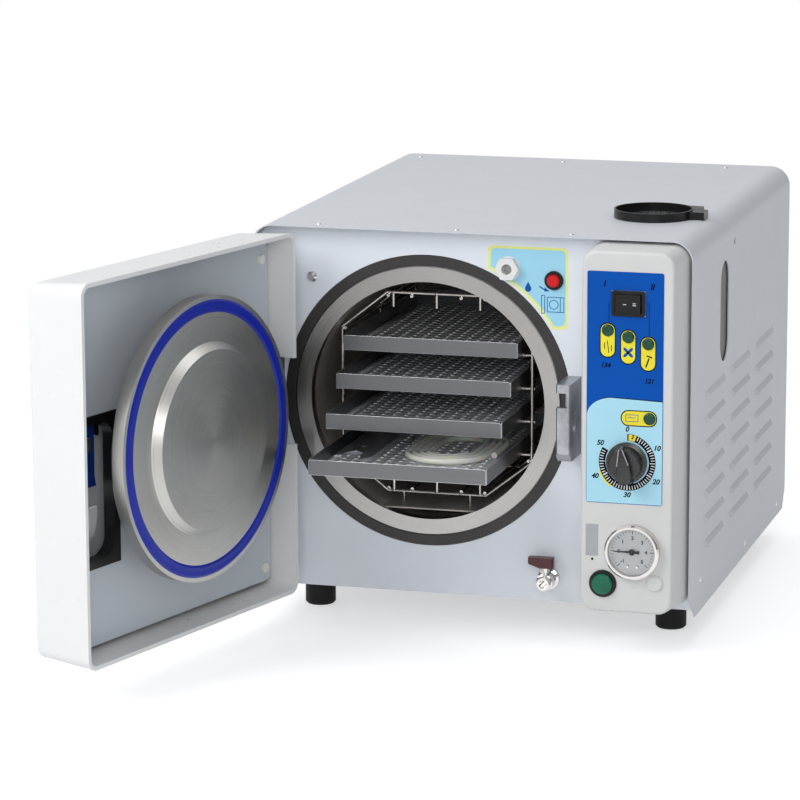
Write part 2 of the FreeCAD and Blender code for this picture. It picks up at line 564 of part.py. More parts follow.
def make_tray_load():
    """The lifter and the drain hose that lie on the lowest tray."""
    bed = "tray_top_z - 3 * tray_pitch - tray_height + tray_gauge"
    front = PANEL + " + tray_home - tray_pull_four"
    left = "chamber_x - tray_width / 2 + tray_gauge + lifter_set"
    start = front + " + lifter_front"
    lifter = new_body("tray_lifter")
    sketch = new_sketch(lifter, "XY", bed)
    outline = [("0", "lifter_length"), ("0", "10"), ("7", "13"), ("7", "24"), ("15", "35"), ("24.5", "26"),
               ("24.5", "15"), ("30", "0"), ("lifter_width", "12"), ("lifter_width", "lifter_length")]
    polygon(sketch, [(left + " + " + x, start + " + " + y) for x, y in outline])
    pad(lifter, sketch, "lifter_gauge")
    hole(lifter, "XY", bed + " + lifter_gauge", "lifter_gauge",
         [(left + " + 17", start + " + 54", "lifter_hole")])
    radius = num("hose_outer")
    step = num("hose_pitch") / 2
    run = num("hose_run")
    edges = []
    x, hand = radius, 1
    for turn in range(8):
        y = run / 2 * hand
        edges.append(Part.LineSegment(V(x, -y, 0), V(x, y, 0)).toShape())
        far = x - hand * 2 * radius
        middle = V((x + far) / 2, y + hand * radius, 0)
        edges.append(Part.Arc(V(x, y, 0), middle, V(far, y, 0)).toShape())
        x, hand, radius = far, -hand, radius - step
    path = Part.Wire(edges)
    section = Part.Wire(Part.Circle(V(num("hose_outer"), -run / 2, 0), V(0, 1, 0),
                                    num("hose_radius")).toShape())
    tube = Part.BRepOffsetAPI.MakePipeShell(path)
    tube.add(section)
    tube.build()
    tube.makeSolid()
    hose = doc.addObject("Part::Feature", "hose_coil")
    hose.Shape = tube.shape()
    lie = num(bed + " + hose_radius + hose_lie_gap")
    middle_y = num(front + " + hose_front + hose_outer + hose_run / 2")
    hose.Placement.Base = V(num("hose_x"), middle_y, lie)
    node("hose_coil", hose)
    expected = math.pi * num("hose_radius") ** 2 * path.Length
    print("hose: %.1f mm long, volume %.4f of section by length, gap between turns %.2f mm"
          % (path.Length, hose.Shape.Volume / expected, 2 * step - 2 * num("hose_radius")))


def make_bezel():
    body = new_body("control_bezel")
    for kind, wall in (("AdditiveLoft", "0"), ("SubtractiveLoft", "bezel_wall")):
        rear = new_sketch(body, "XZ", PANEL)
        rounded(rear, "bezel_left + " + wall, "bezel_right - " + wall, "bezel_bottom + " + wall,
                "bezel_top - " + wall, "bezel_corner - " + wall)
        front = new_sketch(body, "XZ", FACE + " + " + wall)
        rounded(front, "bezel_left + 1 + " + wall, "bezel_right - bezel_draft - " + wall,
                "bezel_bottom + 1.5 + " + wall, "bezel_top - 2 - " + wall, "bezel_corner - " + wall)
        shell = loft(kind, body, rear, front)
        if kind == "AdditiveLoft":
            dress("Fillet", body, shell, "bezel_edge", level("Y", num(FACE)))
    hole(body, "XZ", FACE, "bezel_wall",
         [("rocker_x - rocker_width / 2 + 2", "rocker_x + rocker_width / 2 - 2",
           "rocker_z - rocker_height / 2 + 1.5", "rocker_z + rocker_height / 2 - 1.5"),
          ("timer_x", "timer_z", "timer_shaft + 3"), ("gauge_x", "gauge_z", "gauge_radius - 2"),
          ("button_x", "button_z", "button_ring - 2"), ("plug_x", "plug_z", "plug_radius - 1.5")]
         + [(x, z, "lamp_stem + 0.2") for x, z in LAMPS])


def make_controls():
    overlay, _ = plate("control_overlay", "XZ", FACE, "label_gauge", "label_left", "label_right",
                       "label_bottom", "label_top", "2")
    hole(overlay, "XZ", FACE + " - label_gauge", "label_gauge",
         [("rocker_x - rocker_width / 2 - fit_gap", "rocker_x + rocker_width / 2 + fit_gap",
           "rocker_z - rocker_height / 2 - fit_gap", "rocker_z + rocker_height / 2 + fit_gap"),
          ("timer_x", "timer_z", "timer_shaft + 3")]
         + [(x, z, "lamp_radius + fit_gap") for x, z in LAMPS])
    frame, _ = plate("rocker_frame", "XZ", FACE, "2.4", "rocker_x - rocker_width / 2",
                     "rocker_x + rocker_width / 2", "rocker_z - rocker_height / 2",
                     "rocker_z + rocker_height / 2", "1.6")
    sketch = new_sketch(frame, "XZ", FACE)
    rounded(sketch, "rocker_x - rocker_width / 2 + 2.2", "rocker_x + rocker_width / 2 - 2.2",
            "rocker_z - rocker_height / 2 + 1.7", "rocker_z + rocker_height / 2 - 1.7", "0.8")
    pad(frame, sketch, "22", reverse=True)
    hole(frame, "XZ", FACE + " - 2.4", "18",
         [("rocker_x - paddle_width / 2 - 1", "rocker_x + paddle_width / 2 + 1",
           "rocker_z - paddle_height / 2 - 0.3", "rocker_z + paddle_height / 2 + 0.3")])
    paddle = new_body("rocker_paddle")
    sketch = new_sketch(paddle, "XY", "rocker_z - paddle_height / 2")
    polygon(sketch, [("rocker_x - paddle_width / 2", FACE + " - 4.6"), ("rocker_x", FACE + " - 2.8"),
                     ("rocker_x + paddle_width / 2", FACE + " - 4.6"),
                     ("rocker_x + paddle_width / 2", FACE + " + 1"), ("rocker_x + 4", FACE + " + 7"),
                     ("rocker_x - 4", FACE + " + 7"), ("rocker_x - paddle_width / 2", FACE + " + 1")])
    pad(paddle, sketch, "paddle_height")
    lamps, domes = group("indicator_lamps", "XZ", FACE, "lamp_proud",
                         [(x, z, "lamp_radius") for x, z in LAMPS])
    dress("Fillet", lamps, domes, "lamp_proud - 0.4", level("Y", num(FACE + " - lamp_proud")))
    sketch = new_sketch(lamps, "XZ", FACE)
    for x, z in LAMPS:
        circle(sketch, x, z, "lamp_stem")
    pad(lamps, sketch, "14", reverse=True)
    shaft_out = "knob_height - 3"
    turned("timer_body", [("0", "-(%s)" % shaft_out), ("timer_shaft", "-(%s)" % shaft_out),
                          ("timer_shaft", "bezel_wall + 1"), ("timer_can", "bezel_wall + 1"),
                          ("timer_can", "timer_can_depth"), ("0", "timer_can_depth")],
           "timer_x", FACE, "timer_z")
    turned("timer_knob", [("timer_shaft + 0.05", "-1.2"), ("knob_radius", "-1.2"),
                          ("knob_radius", "-4.5"), ("knob_radius - 3.2", "-5.5"),
                          ("knob_radius - 4.4", "-knob_height + 1"),
                          ("knob_radius - 5.4", "-knob_height"), ("0", "-knob_height"),
                          ("0", "-knob_height + 2.5"), ("timer_shaft + 0.05", "-knob_height + 2.5")],
           "timer_x", FACE, "timer_z")


def make_gauge():
    hub = 1.5
    turned("gauge_case", [("gauge_radius - 3.4", "-gauge_proud"), ("gauge_radius - 1.5", "-gauge_proud"),
                          ("gauge_radius", "-gauge_proud + 1.5"), ("gauge_radius", "0"),
                          ("gauge_radius - 2.2", "0"), ("gauge_radius - 2.2", "24"), ("0", "24"),
                          ("0", "22"), ("gauge_radius - 3.4", "22")], "gauge_x", FACE, "gauge_z")
    turned("gauge_dial", [(hub + 0.1, "-gauge_proud + 6"), ("gauge_radius - 3.5", "-gauge_proud + 6"),
                          ("gauge_radius - 3.5", "-gauge_proud + 7"), (hub + 0.1, "-gauge_proud + 7")],
           "gauge_x", FACE, "gauge_z")
    turned("gauge_glass", [("0", "-gauge_proud + 1"), ("gauge_radius - 3.5", "-gauge_proud + 1"),
                           ("gauge_radius - 3.5", "-gauge_proud + 2.4"), ("0", "-gauge_proud + 2.4")],
           "gauge_x", FACE, "gauge_z")
    needle = new_body("gauge_needle")
    sketch = new_sketch(needle, "XZ", FACE + " - gauge_proud + 4.6")
    polygon(sketch, [("gauge_x - 17.5", "gauge_z - 0.3"), ("gauge_x - 2", "gauge_z - 1"),
                     ("gauge_x + 7", "gauge_z - 1.6"), ("gauge_x + 7", "gauge_z + 1.6"),
                     ("gauge_x - 2", "gauge_z + 1"), ("gauge_x - 17.5", "gauge_z + 0.3")])
    pad(needle, sketch, "0.6")
    sketch = new_sketch(needle, "XZ", FACE + " - gauge_proud + 9")
    circle(sketch, "gauge_x", "gauge_z", hub)
    pad(needle, sketch, "5.4")


def push_button(label, x, z, plane_y, ring, cap, travel, stand):
    """A ring screwed to a panel, and the cap that slides in it."""
    turned(label + "_ring", [("(%s) + 0.3" % cap, "0.2"), (cap + " + 0.3", "-(%s)" % stand),
                             (ring + " - 1", "-(%s)" % stand), (ring, "-(%s) + 1" % stand), (ring, "0"),
                             (ring + " - 2.2", "0"), (ring + " - 2.2", "14"), (cap + " + 0.3", "14")],
           x, plane_y, z)
    proud = "(%s) + %s" % (stand, travel)
    turned(label, [("0", "-(%s)" % proud), (cap + " - 1.2", "-(%s)" % proud),
                   (cap, "-(%s) + 1.2" % proud), (cap, "8"), ("0", "8")], x, plane_y, z)


def make_buttons():
    push_button("power_button", "button_x", "button_z", FACE, "button_ring", "button_cap",
                "button_travel", "2.5")
    push_button("release_button", "release_x", "release_z", PANEL, "release_ring", "release_cap",
                "release_travel", "3")
    turned("blank_plug", [("0", "-2"), ("plug_radius - 1.2", "-2"), ("plug_radius", "-1"),
                          ("plug_radius", "0"), ("plug_radius - 1.6", "0"), ("plug_radius - 1.6", "6"),
                          ("0", "6")], "plug_x", FACE, "plug_z")


def make_panel_fittings():
    turned("panel_stud", [("0", "-4"), ("stud_radius - 2", "-4"), ("stud_radius", "-2"),
                          ("stud_radius", "0"), ("stud_radius / 2 - 0.1", "0"),
                          ("stud_radius / 2 - 0.1", "8"), ("0", "8")], "stud_x", PANEL, "stud_z")
    port = new_body("air_port")
    sketch = new_sketch(port, "XZ", PANEL)
    reach = [(math.cos(math.radians(60 * turn)), math.sin(math.radians(60 * turn))) for turn in range(6)]
    across = "port_flats / sqrt(3)"
    polygon(sketch, [("port_x + %s * %.6f" % (across, c), "port_z + %s * %.6f" % (across, s))
                     for c, s in reach])
    pad(port, sketch, "port_proud")
    sketch = new_sketch(port, "XZ", PANEL)
    circle(sketch, "port_x", "port_z", "port_bore + 2.8")
    pad(port, sketch, "14", reverse=True)
    hole(port, "XZ", PANEL + " - port_proud", "port_proud + 10", [("port_x", "port_z", "port_bore")])
    turned("drain_tap", [("drain_bore", "-drain_reach"), ("drain_radius - 2", "-drain_reach"),
                         ("drain_radius - 1", "-drain_reach + 1"), ("drain_radius - 1", "-drain_reach + 6"),
                         ("drain_radius", "-drain_reach + 6.5"), ("drain_radius", "-6"),
                         ("drain_radius + 2.5", "-5"), ("drain_radius + 2.5", "0"),
                         ("drain_radius - 2", "0"), ("drain_radius - 2", "20"), ("0", "20"),
                         ("0", "-drain_reach + 14"), ("drain_bore", "-drain_reach + 14")],
           "drain_x", PANEL, "drain_z")
    stem_y = PANEL + " - drain_reach + 14"
    turned("drain_stem", [("0", "drain_radius + 0.1"), ("3.2", "drain_radius + 0.1"),
                          ("3.2", "lever_z - drain_z"), ("0", "lever_z - drain_z")],
           "drain_x", stem_y, "drain_z", "z")
    lever = new_body("drain_lever")
    sketch = new_sketch(lever, "XZ", stem_y + " + lever_width / 2")
    right = "drain_x + lever_width / 2 + 3"
    polygon(sketch, [(right, "lever_z"), (right, "lever_z + lever_height"),
                     (right + " - lever_length", "lever_z + lever_height"),
                     (right + " - lever_length", "lever_z + lever_height / 2 - 1"),
                     ("drain_x - lever_width / 2 - 1", "lever_z")])
    bar = pad(lever, sketch, "lever_width")
    dress("Fillet", lever, bar, "2", along("z"))


def make_keeper():
    body = new_body("latch_keeper")
    front = PANEL + " - keeper_stand"
    right = "keeper_left + keeper_width"
    sketch = new_sketch(body, "YZ", "keeper_left")
    polygon(sketch, [(PANEL, "keeper_bottom"), (PANEL, "keeper_top"), (front, "keeper_top"),
                     (front, "keeper_bottom + 8"), (front + " + 8", "keeper_bottom")])
    block = pad(body, sketch, "keeper_width")
    dress("Chamfer", body, block, "1.2", lambda e: along("z")(e) and abs(e.CenterOfMass.y - num(front)) < 0.1)
    inner_back = PANEL + " - 6"
    sketch = new_sketch(body, "YZ", "keeper_left - 1")
    polygon(sketch, [(front + " - 1", "keeper_sill"), (front + " + keeper_wall", "keeper_sill"),
                     (front + " + keeper_wall", "keeper_bottom + 16"), (inner_back, "keeper_bottom + 16"),
                     (inner_back, "keeper_lintel"), (front + " - 1", "keeper_lintel")])
    pocket(body, sketch, "keeper_width - keeper_web + 1", reverse=True)
    sketch = new_sketch(body, "YZ", right + " + 1")
    rounded(sketch, front + " + 12", front + " + 24", "keeper_bottom + 26", "keeper_sill - 6", "5.9")
    pocket(body, sketch, "keeper_web + 2")
    group("keeper_screws", "XZ", PANEL + " - 6", "2.4",
          [("keeper_left + keeper_width / 2 - 1", "keeper_bottom + 26", "3.2"),
           ("keeper_left + keeper_width / 2 - 1", "keeper_sill - 8", "3.2")])


def make_hinge():
    middle = "chamber_z"
    body = new_body("hinge_bracket")
    sketch = new_sketch(body, "XY", middle + " - knuckle_height / 2 - ear_height")
    polygon(sketch, [("hinge_x - ear_radius", HINGE_Y), ("hinge_x + ear_radius", HINGE_Y),
                     ("hinge_x + ear_radius", PANEL), ("hinge_x - ear_radius", PANEL)])
    pad(body, sketch, "knuckle_height + 2 * ear_height")
    sketch = new_sketch(body, "XY", middle + " - knuckle_height / 2 - ear_height")
    circle(sketch, "hinge_x", HINGE_Y, "ear_radius")
    pad(body, sketch, "knuckle_height + 2 * ear_height")
    sketch = new_sketch(body, "YZ", "hinge_x - 2 * ear_radius")
    gap_back = HINGE_Y + " + ear_radius + 3"
    polygon(sketch, [(HINGE_Y + " - ear_radius - 1", middle + " - knuckle_height / 2 - fit_gap"),
                     (gap_back, middle + " - knuckle_height / 2 - fit_gap"),
                     (gap_back, middle + " + knuckle_height / 2 + fit_gap"),
                     (HINGE_Y + " - ear_radius - 1", middle + " + knuckle_height / 2 + fit_gap")])
    pocket(body, sketch, "4 * ear_radius", reverse=True)
    hole(body, "XY", middle + " + knuckle_height / 2 + ear_height", "knuckle_height + 2 * ear_height",
         [("hinge_x", HINGE_Y, "pin_radius")])
    ear_top = "knuckle_height / 2 + ear_height"
    turned("hinge_pin", [("0", "-(%s) - 2" % ear_top), ("pin_radius", "-(%s) - 2" % ear_top),
                         ("pin_radius", ear_top), ("pin_radius + 2.5", ear_top),
                         ("pin_radius + 2.5", ear_top + " + 2"), ("0", ear_top + " + 2")],
           "hinge_x", HINGE_Y, middle, "z")


def add_scoop(shell):
    """The finger scoop under the grip opening, a quarter of an ellipse that curves into the door."""
    outer, inner = [], []
    for step in range(7):
        turn = math.radians(15 * step)
        across, up = math.sin(turn), 1 - math.cos(turn)
        outer.append((SKIN + " + door_wall / 2 + scoop_depth * %.5f" % across,
                      "grip_bottom - scoop_height * %.5f" % (1 - up)))
        inner.append((SKIN + " + door_wall / 2 + (scoop_depth - scoop_wall) * %.5f" % across,
                      "grip_bottom - (scoop_height - scoop_wall) * %.5f" % (1 - up)))
    sketch = new_sketch(shell, "YZ", "grip_left + 0.5")
    polygon(sketch, outer + inner[::-1])
    pad(shell, sketch, "grip_right - grip_left - 1")


def make_door():
    shell = new_body("door_shell")
    for kind, wall in (("AdditiveLoft", "0"), ("SubtractiveLoft", "door_wall")):
        skin_set = "0" if kind == "AdditiveLoft" else "door_wall"
        rim = new_sketch(shell, "XZ", RIM)
        rounded(rim, "door_left + " + wall, "door_right - " + wall, "door_bottom + " + wall,
                "door_top - " + wall, "door_corner - " + wall)
        skin = new_sketch(shell, "XZ", SKIN + " + " + skin_set)
        rounded(skin, "door_left + door_side_draft + " + wall, "door_right - door_side_draft - " + wall,
                "door_bottom + door_draft + " + wall, "door_top - door_draft - " + wall,
                "door_corner - " + wall)
        feature = loft(kind, shell, rim, skin)
        if kind == "AdditiveLoft":
            dress("Fillet", shell, feature, "door_edge", level("Y", num(SKIN)))
    hole(shell, "XZ", SKIN, "door_wall", [("grip_left", "grip_right", "grip_bottom", "grip_top")])
    add_scoop(shell)
    sketch = new_sketch(shell, "YZ", "door_left - 1")
    low, high = "chamber_z - bracket_slot / 2", "chamber_z + bracket_slot / 2"
    polygon(sketch, [(RIM + " + 1", low), (RIM + " + 1", high), (RIM + " - bracket_slot_reach", high),
                     (RIM + " - bracket_slot_reach", low)])
    pocket(shell, sketch, "door_wall + 4", reverse=True)
    on_door(shell)
    inset = "door_wall + fit_gap + 1.6"
    panel, _ = plate("door_inner_panel", "XZ", DOOR_PANEL, "inner_panel_gauge", "door_left + " + inset,
                     "door_right - (%s)" % inset, "door_bottom + door_draft + " + inset,
                     "door_top - door_draft - (%s)" % inset, "door_corner - door_wall")
    hole(panel, "XZ", DOOR_PANEL + " - inner_panel_gauge", "inner_panel_gauge",
         [("door_left + 1", "hinge_x + ear_radius + 4", low, high),
          ("door_right - door_wall - lock_reach", "door_right", "lock_bottom", "lock_top")])
    on_door(panel)


def make_arm_and_lid():
    arm = new_body("door_arm")
    half = "arm_height / 2"
    front = HINGE_Y + " + arm_back"
    back = HINGE_Y + " + arm_back + arm_gauge"
    sketch = new_sketch(arm, "XY", "chamber_z - " + half)
    polygon(sketch, [("hinge_x", HINGE_Y + " + 1"), ("hinge_x + ear_radius + 10", HINGE_Y + " + 1"),
                     ("hinge_x + ear_radius + 22", front), ("chamber_x + arm_end", front),
                     ("chamber_x + arm_end", back), ("hinge_x + ear_radius + 8", back),
                     ("hinge_x + ear_radius + 2", HINGE_Y + " + ear_radius - 1"),
                     ("hinge_x", HINGE_Y + " + ear_radius - 1")])
    pad(arm, sketch, "arm_height")
    sketch = new_sketch(arm, "XY", "chamber_z - " + half)
    circle(sketch, "hinge_x", HINGE_Y, "ear_radius")
    pad(arm, sketch, "arm_height")
    sketch = new_sketch(arm, "XZ", back)
    circle(sketch, "chamber_x", "chamber_z", "arm_boss")
    pad(arm, sketch, LID + " - lid_rim - (%s)" % back, reverse=True)
    hole(arm, "XY", "chamber_z + " + half, "arm_height", [("hinge_x", HINGE_Y, "pin_radius + 0.05")])
    on_door(arm)
    profile = [("0", "-lid_rim"), ("lid_radius - 2", "-lid_rim"), ("lid_radius", "-lid_rim + 2"),
               ("lid_radius", "0"), ("gasket_outer", "0"), ("gasket_outer", "-gasket_depth"),
               ("gasket_inner", "-gasket_depth"), ("gasket_inner", "0"),
               ("plateau_base", "0"), ("plateau_top", "plateau_rise"), ("0", "plateau_rise")]
    lid = turned("lid_disc", profile, "chamber_x", LID, "chamber_z")
    on_door(lid)
    gasket = turned("lid_gasket", [("gasket_outer", "-gasket_depth"), ("gasket_outer", "0"),
                                   ("gasket_outer - 2", "gasket_crown - 0.4"),
                                   ("(gasket_outer + gasket_inner) / 2", "gasket_crown - 0.6"),
                                   ("gasket_inner + 2", "gasket_crown - 0.4"), ("gasket_inner", "0"),
                                   ("gasket_inner", "-gasket_depth")], "chamber_x", LID, "chamber_z")
    on_door(gasket)


def make_lock():
    left = "door_right - door_wall - lock_reach + 0.4"
    right = "door_right - door_wall - 2"
    housing, _ = plate("lock_housing", "XZ", DOOR_PANEL + " + 1", "lock_depth", left, right,
                       "lock_bottom + 0.4", "lock_top - 0.4")
    sketch = new_sketch(housing, "XZ", DOOR_PANEL + " + 1 - lock_depth")
    rounded(sketch, left + " + lock_border", right + " - lock_border - hook_width",
            "lock_bottom + lock_border", "lock_top - lock_border", "lock_corner")
    pocket(housing, sketch, "lock_depth")
    hook_left = "keeper_left + hook_inset"
    hook_right = "keeper_left + hook_inset + hook_width"
    hole(housing, "XZ", DOOR_PANEL + " + 1 - lock_depth", "lock_depth",
         [(hook_left + " - fit_gap", hook_right + " + fit_gap",
           "keeper_sill - 20", "keeper_lintel + 4")])
    ear_y = HINGE_Y + " - handle_pivot_set"
    for start in ("handle_left - 0.5 - cheek_gauge", "handle_left + handle_width + 0.5"):
        sketch = new_sketch(housing, "YZ", start)
        polygon(sketch, [(DOOR_PANEL + " + 1 - lock_depth", "handle_pivot_z - 8"),
                         (DOOR_PANEL + " + 1 - lock_depth", "lock_top - 0.4"),
                         (ear_y + " - 5", "handle_pivot_z + 5"), (ear_y + " - 5", "handle_pivot_z - 5")])
        pad(housing, sketch, "cheek_gauge")
    hole(housing, "YZ", "handle_left + handle_width + 20", "handle_width + 40",
         [(ear_y, "handle_pivot_z", "handle_pin")])
    on_door(housing)
    pin = new_body("handle_pivot_pin")
    sketch = new_sketch(pin, "YZ", "handle_left - 0.5 - cheek_gauge")
    circle(sketch, ear_y, "handle_pivot_z", "handle_pin")
    pad(pin, sketch, "handle_width + 1 + 2 * cheek_gauge")
    on_door(pin)
    hook = new_body("lock_hook")
    sketch = new_sketch(hook, "YZ", hook_left)
    nose = PANEL + " - keeper_stand + keeper_wall + hook_gap"
    neck = "keeper_sill + hook_travel + hook_gap"
    back = DOOR_PANEL + " - lock_depth"
    polygon(sketch, [(back, "keeper_sill - 4"), (back, neck + " + hook_neck"),
                     (nose + " + 5", neck + " + hook_neck"), (nose + " + 5", "keeper_sill + 1.2"),
                     (nose, "keeper_sill + 1.2"), (nose, neck), (DOOR_PANEL + " - 2", neck),
                     (DOOR_PANEL + " - 2", "keeper_sill - 4")])
    pad(hook, sketch, "hook_width")
    on_door(hook)
    pivot_y = HINGE_Y + " - handle_pivot_set"
    handle = new_body("door_handle")
    sketch = new_sketch(handle, "YZ", "handle_left")
    polygon(sketch, [(pivot_y + " - 29.5", "handle_pivot_z + 13"), (pivot_y + " - 30", "handle_pivot_z + 19"),
                     (pivot_y + " - 26", "handle_pivot_z + 24"), (pivot_y + " - 8", "handle_pivot_z + 24.5"),
                     (pivot_y + " - 1", "handle_pivot_z + 19"), (pivot_y + " + 4.5", "handle_pivot_z + 4"),
                     (pivot_y + " + 4.5", "handle_pivot_z - 46"), (pivot_y + " + 6", "handle_pivot_z - 54"),
                     (pivot_y + " + 1", "handle_pivot_z - 56"), (pivot_y + " - 2.5", "handle_pivot_z - 47"),
                     (pivot_y + " - 4.5", "handle_pivot_z - 8"), (pivot_y + " - 10", "handle_pivot_z + 12")])
    pad(handle, sketch, "handle_width")
    hole(handle, "YZ", "handle_left + handle_width", "handle_width",
         [(pivot_y, "handle_pivot_z", "handle_pin + 0.05")])
    on_door(handle)


def make_door_details():
    caps, _ = group("door_panel_caps", "XZ", DOOR_PANEL, "cap_height",
                    [(x, z, "cap_radius") for x in ("hinge_x - 11", "door_right - 18")
                     for z in ("door_bottom + 24", "door_top - 26")], reverse=True)
    on_door(caps)


def make_tank():
    body, _ = plate("water_tank", "XY", "tank_bottom", "tank_top - tank_bottom", "tank_left", "tank_right",
                    "tank_front", "tank_back", "tank_corner")
    sketch = new_sketch(body, "XY", "tank_top - tank_wall")
    rounded(sketch, "tank_left + tank_wall", "tank_right - tank_wall", "tank_front + tank_wall",
            "tank_back - tank_wall", "tank_corner - tank_wall")
    pocket(body, sketch, "tank_top - tank_bottom - 2 * tank_wall")
    bore, outside = "filler_radius - collar_gauge - neck_wall", "filler_radius - collar_gauge"
    hole(body, "XY", "tank_top", "tank_wall", [("filler_x", "filler_y", bore)])
    turned("filler_neck", [(bore, "tank_top"), (outside, "tank_top"), (outside, "cabinet_top"),
                           (bore, "cabinet_top")], "filler_x", "filler_y", "0", "z")
    collar = new_body("filler_collar")
    sketch = new_sketch(collar, "XY", "cabinet_top")
    circle(sketch, "filler_x", "filler_y", "filler_radius")
    pad(collar, sketch, "collar_height")
    strip_back = "filler_y + collar_latch_width / 2"
    sketch = new_sketch(collar, "XY", "cabinet_top")
    polygon(sketch, [("filler_x + filler_radius - 3", "filler_y - collar_latch_width / 2"),
                     ("filler_x + collar_tail + collar_latch", "filler_y - collar_latch_width / 2"),
                     ("filler_x + collar_tail + collar_latch", strip_back),
                     ("filler_x + collar_tail", strip_back),
                     ("filler_x + collar_tail", strip_back + " + collar_latch_width"),
                     ("filler_x + filler_radius / 2", "filler_y + filler_radius - 5")])
    pad(collar, sketch, "collar_height - 1")
    hole(collar, "XY", "cabinet_top + collar_height", "collar_height", [("filler_x", "filler_y", outside)])
    plate("level_window", "YZ", "cabinet_width / 2 - sheet_gauge - 3", "2.6",
          "slot_y - slot_width / 2 - 6", "slot_y + slot_width / 2 + 6",
          "slot_z - slot_length / 2 - 6", "slot_z + slot_length / 2 + 6", "6")


def make_all():
    make_cabinet()
    make_rear_fittings()
    make_chamber()
    make_rack()
    make_trays()
    make_tray_load()
    make_bezel()
    make_controls()
    make_gauge()
    make_buttons()
    make_panel_fittings()
    make_keeper()
    make_hinge()
    make_door()
    make_arm_and_lid()
    make_lock()
    make_door_details()
    make_tank()


make_all()
doc.recompute()
for item in doc.Objects:
    if "Invalid" in item.State or "Error" in item.State:
        raise ValueError("%s did not build" % item.Label)
os.makedirs("parts", exist_ok=True)
for piece in NODES:
    if piece.Shape.isNull() or not piece.Shape.isValid():
        raise ValueError("%s has no valid shape" % piece.Label)
    piece.Shape.exportStep("parts/%s.step" % piece.Label)
print("%d nodes" % len(NODES))
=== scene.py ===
"""Looks of the bench autoclave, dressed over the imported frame."""
import math

import bmesh
import bpy
from mathutils import Matrix, Vector


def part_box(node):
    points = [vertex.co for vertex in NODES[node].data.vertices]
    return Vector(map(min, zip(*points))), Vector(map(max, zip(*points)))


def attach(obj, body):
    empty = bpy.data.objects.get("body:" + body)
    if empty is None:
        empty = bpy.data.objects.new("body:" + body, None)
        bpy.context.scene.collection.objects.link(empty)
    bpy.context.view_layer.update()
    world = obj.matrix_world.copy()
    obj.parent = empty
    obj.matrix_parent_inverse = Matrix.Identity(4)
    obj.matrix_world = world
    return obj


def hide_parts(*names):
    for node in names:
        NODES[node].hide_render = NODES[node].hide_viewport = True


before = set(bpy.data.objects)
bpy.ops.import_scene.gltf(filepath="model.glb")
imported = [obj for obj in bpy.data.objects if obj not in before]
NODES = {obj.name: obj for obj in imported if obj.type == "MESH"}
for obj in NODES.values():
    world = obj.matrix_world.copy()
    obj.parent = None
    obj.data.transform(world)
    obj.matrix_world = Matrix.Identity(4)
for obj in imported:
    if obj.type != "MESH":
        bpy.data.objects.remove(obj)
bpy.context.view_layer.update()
MM = 0.001
PANEL, FACE = -234.5, -287.5
CHAMBER_X, CHAMBER_Z = -45.0, 226.15
HINGE = Vector((-198.0, -286.5, 0.0)) * MM
DOOR = (Matrix.Translation(HINGE) @ Matrix.Rotation(math.radians(-106), 4, "Z")
        @ Matrix.Translation(-HINGE))
FRONT = Matrix.Rotation(math.radians(90), 4, "X")


# Camera
def make_camera():
    yaw, pitch, roll = math.radians(16.004), math.radians(11.754), math.radians(-0.229)
    ahead = Vector((-math.sin(yaw) * math.cos(pitch), math.cos(yaw) * math.cos(pitch), -math.sin(pitch)))
    right = Vector((math.cos(yaw), math.sin(yaw), 0))
    up = right.cross(ahead)
    right, up = (math.cos(roll) * right + math.sin(roll) * up, -math.sin(roll) * right + math.cos(roll) * up)
    data = bpy.data.cameras.new("camera")
    data.sensor_width = 36.0
    data.lens = 169.70
    data.clip_end = 50
    camera = bpy.data.objects.new("camera", data)
    turn = Matrix((right, up, -ahead)).transposed().to_4x4()
    camera.matrix_world = Matrix.Translation((0.8980, -3.6165, 0.9579)) @ turn
    bpy.context.scene.collection.objects.link(camera)
    bpy.context.scene.camera = camera


make_camera()


# Drain hose on the lowest tray, a flat coil whose turns lie beside each other
HOSE_RADIUS = 3.0
HOSE_CENTRE = Vector((-21.0, -212.5, 177.2))
HOSE_RUN, HOSE_OUTER, HOSE_STEP = 46.0, 42.0, 3.4


def make_hose():
    points = []
    radius, x, hand = HOSE_OUTER, HOSE_OUTER, 1
    arc_steps = 7
    for turn in range(8):
        middle = x - hand * radius
        for step in range(arc_steps + 1):
            angle = math.pi * step / arc_steps
            swell = 1.0 + 0.024 * (0 < step < arc_steps)
            points.append(Vector((middle + hand * radius * swell * math.cos(angle),
                                  hand * (HOSE_RUN / 2 + radius * swell * math.sin(angle)), 0)))
        x, hand, radius = middle - hand * radius, -hand, radius - HOSE_STEP
    points.insert(0, Vector((HOSE_OUTER, -HOSE_RUN / 2, 0)))
    curve = bpy.data.curves.new("drain_hose", "CURVE")
    curve.dimensions = "3D"
    curve.bevel_depth = 1.0
    curve.bevel_resolution = 5
    curve.resolution_u = 6
    curve.use_fill_caps = True
    line = curve.splines.new("NURBS")
    line.points.add(len(points) - 1)
    for spot, point in zip(line.points, points):
        spot.co = [*((point + HOSE_CENTRE) * MM), 1.0]
        spot.radius = HOSE_RADIUS * MM
    line.order_u = 3
    line.use_endpoint_u = True
    hose = bpy.data.objects.new("drain_hose", curve)
    bpy.context.scene.collection.objects.link(hose)
    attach(hose, "bottom_tray")
    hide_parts("hose_coil")
    return hose


hose = make_hose()


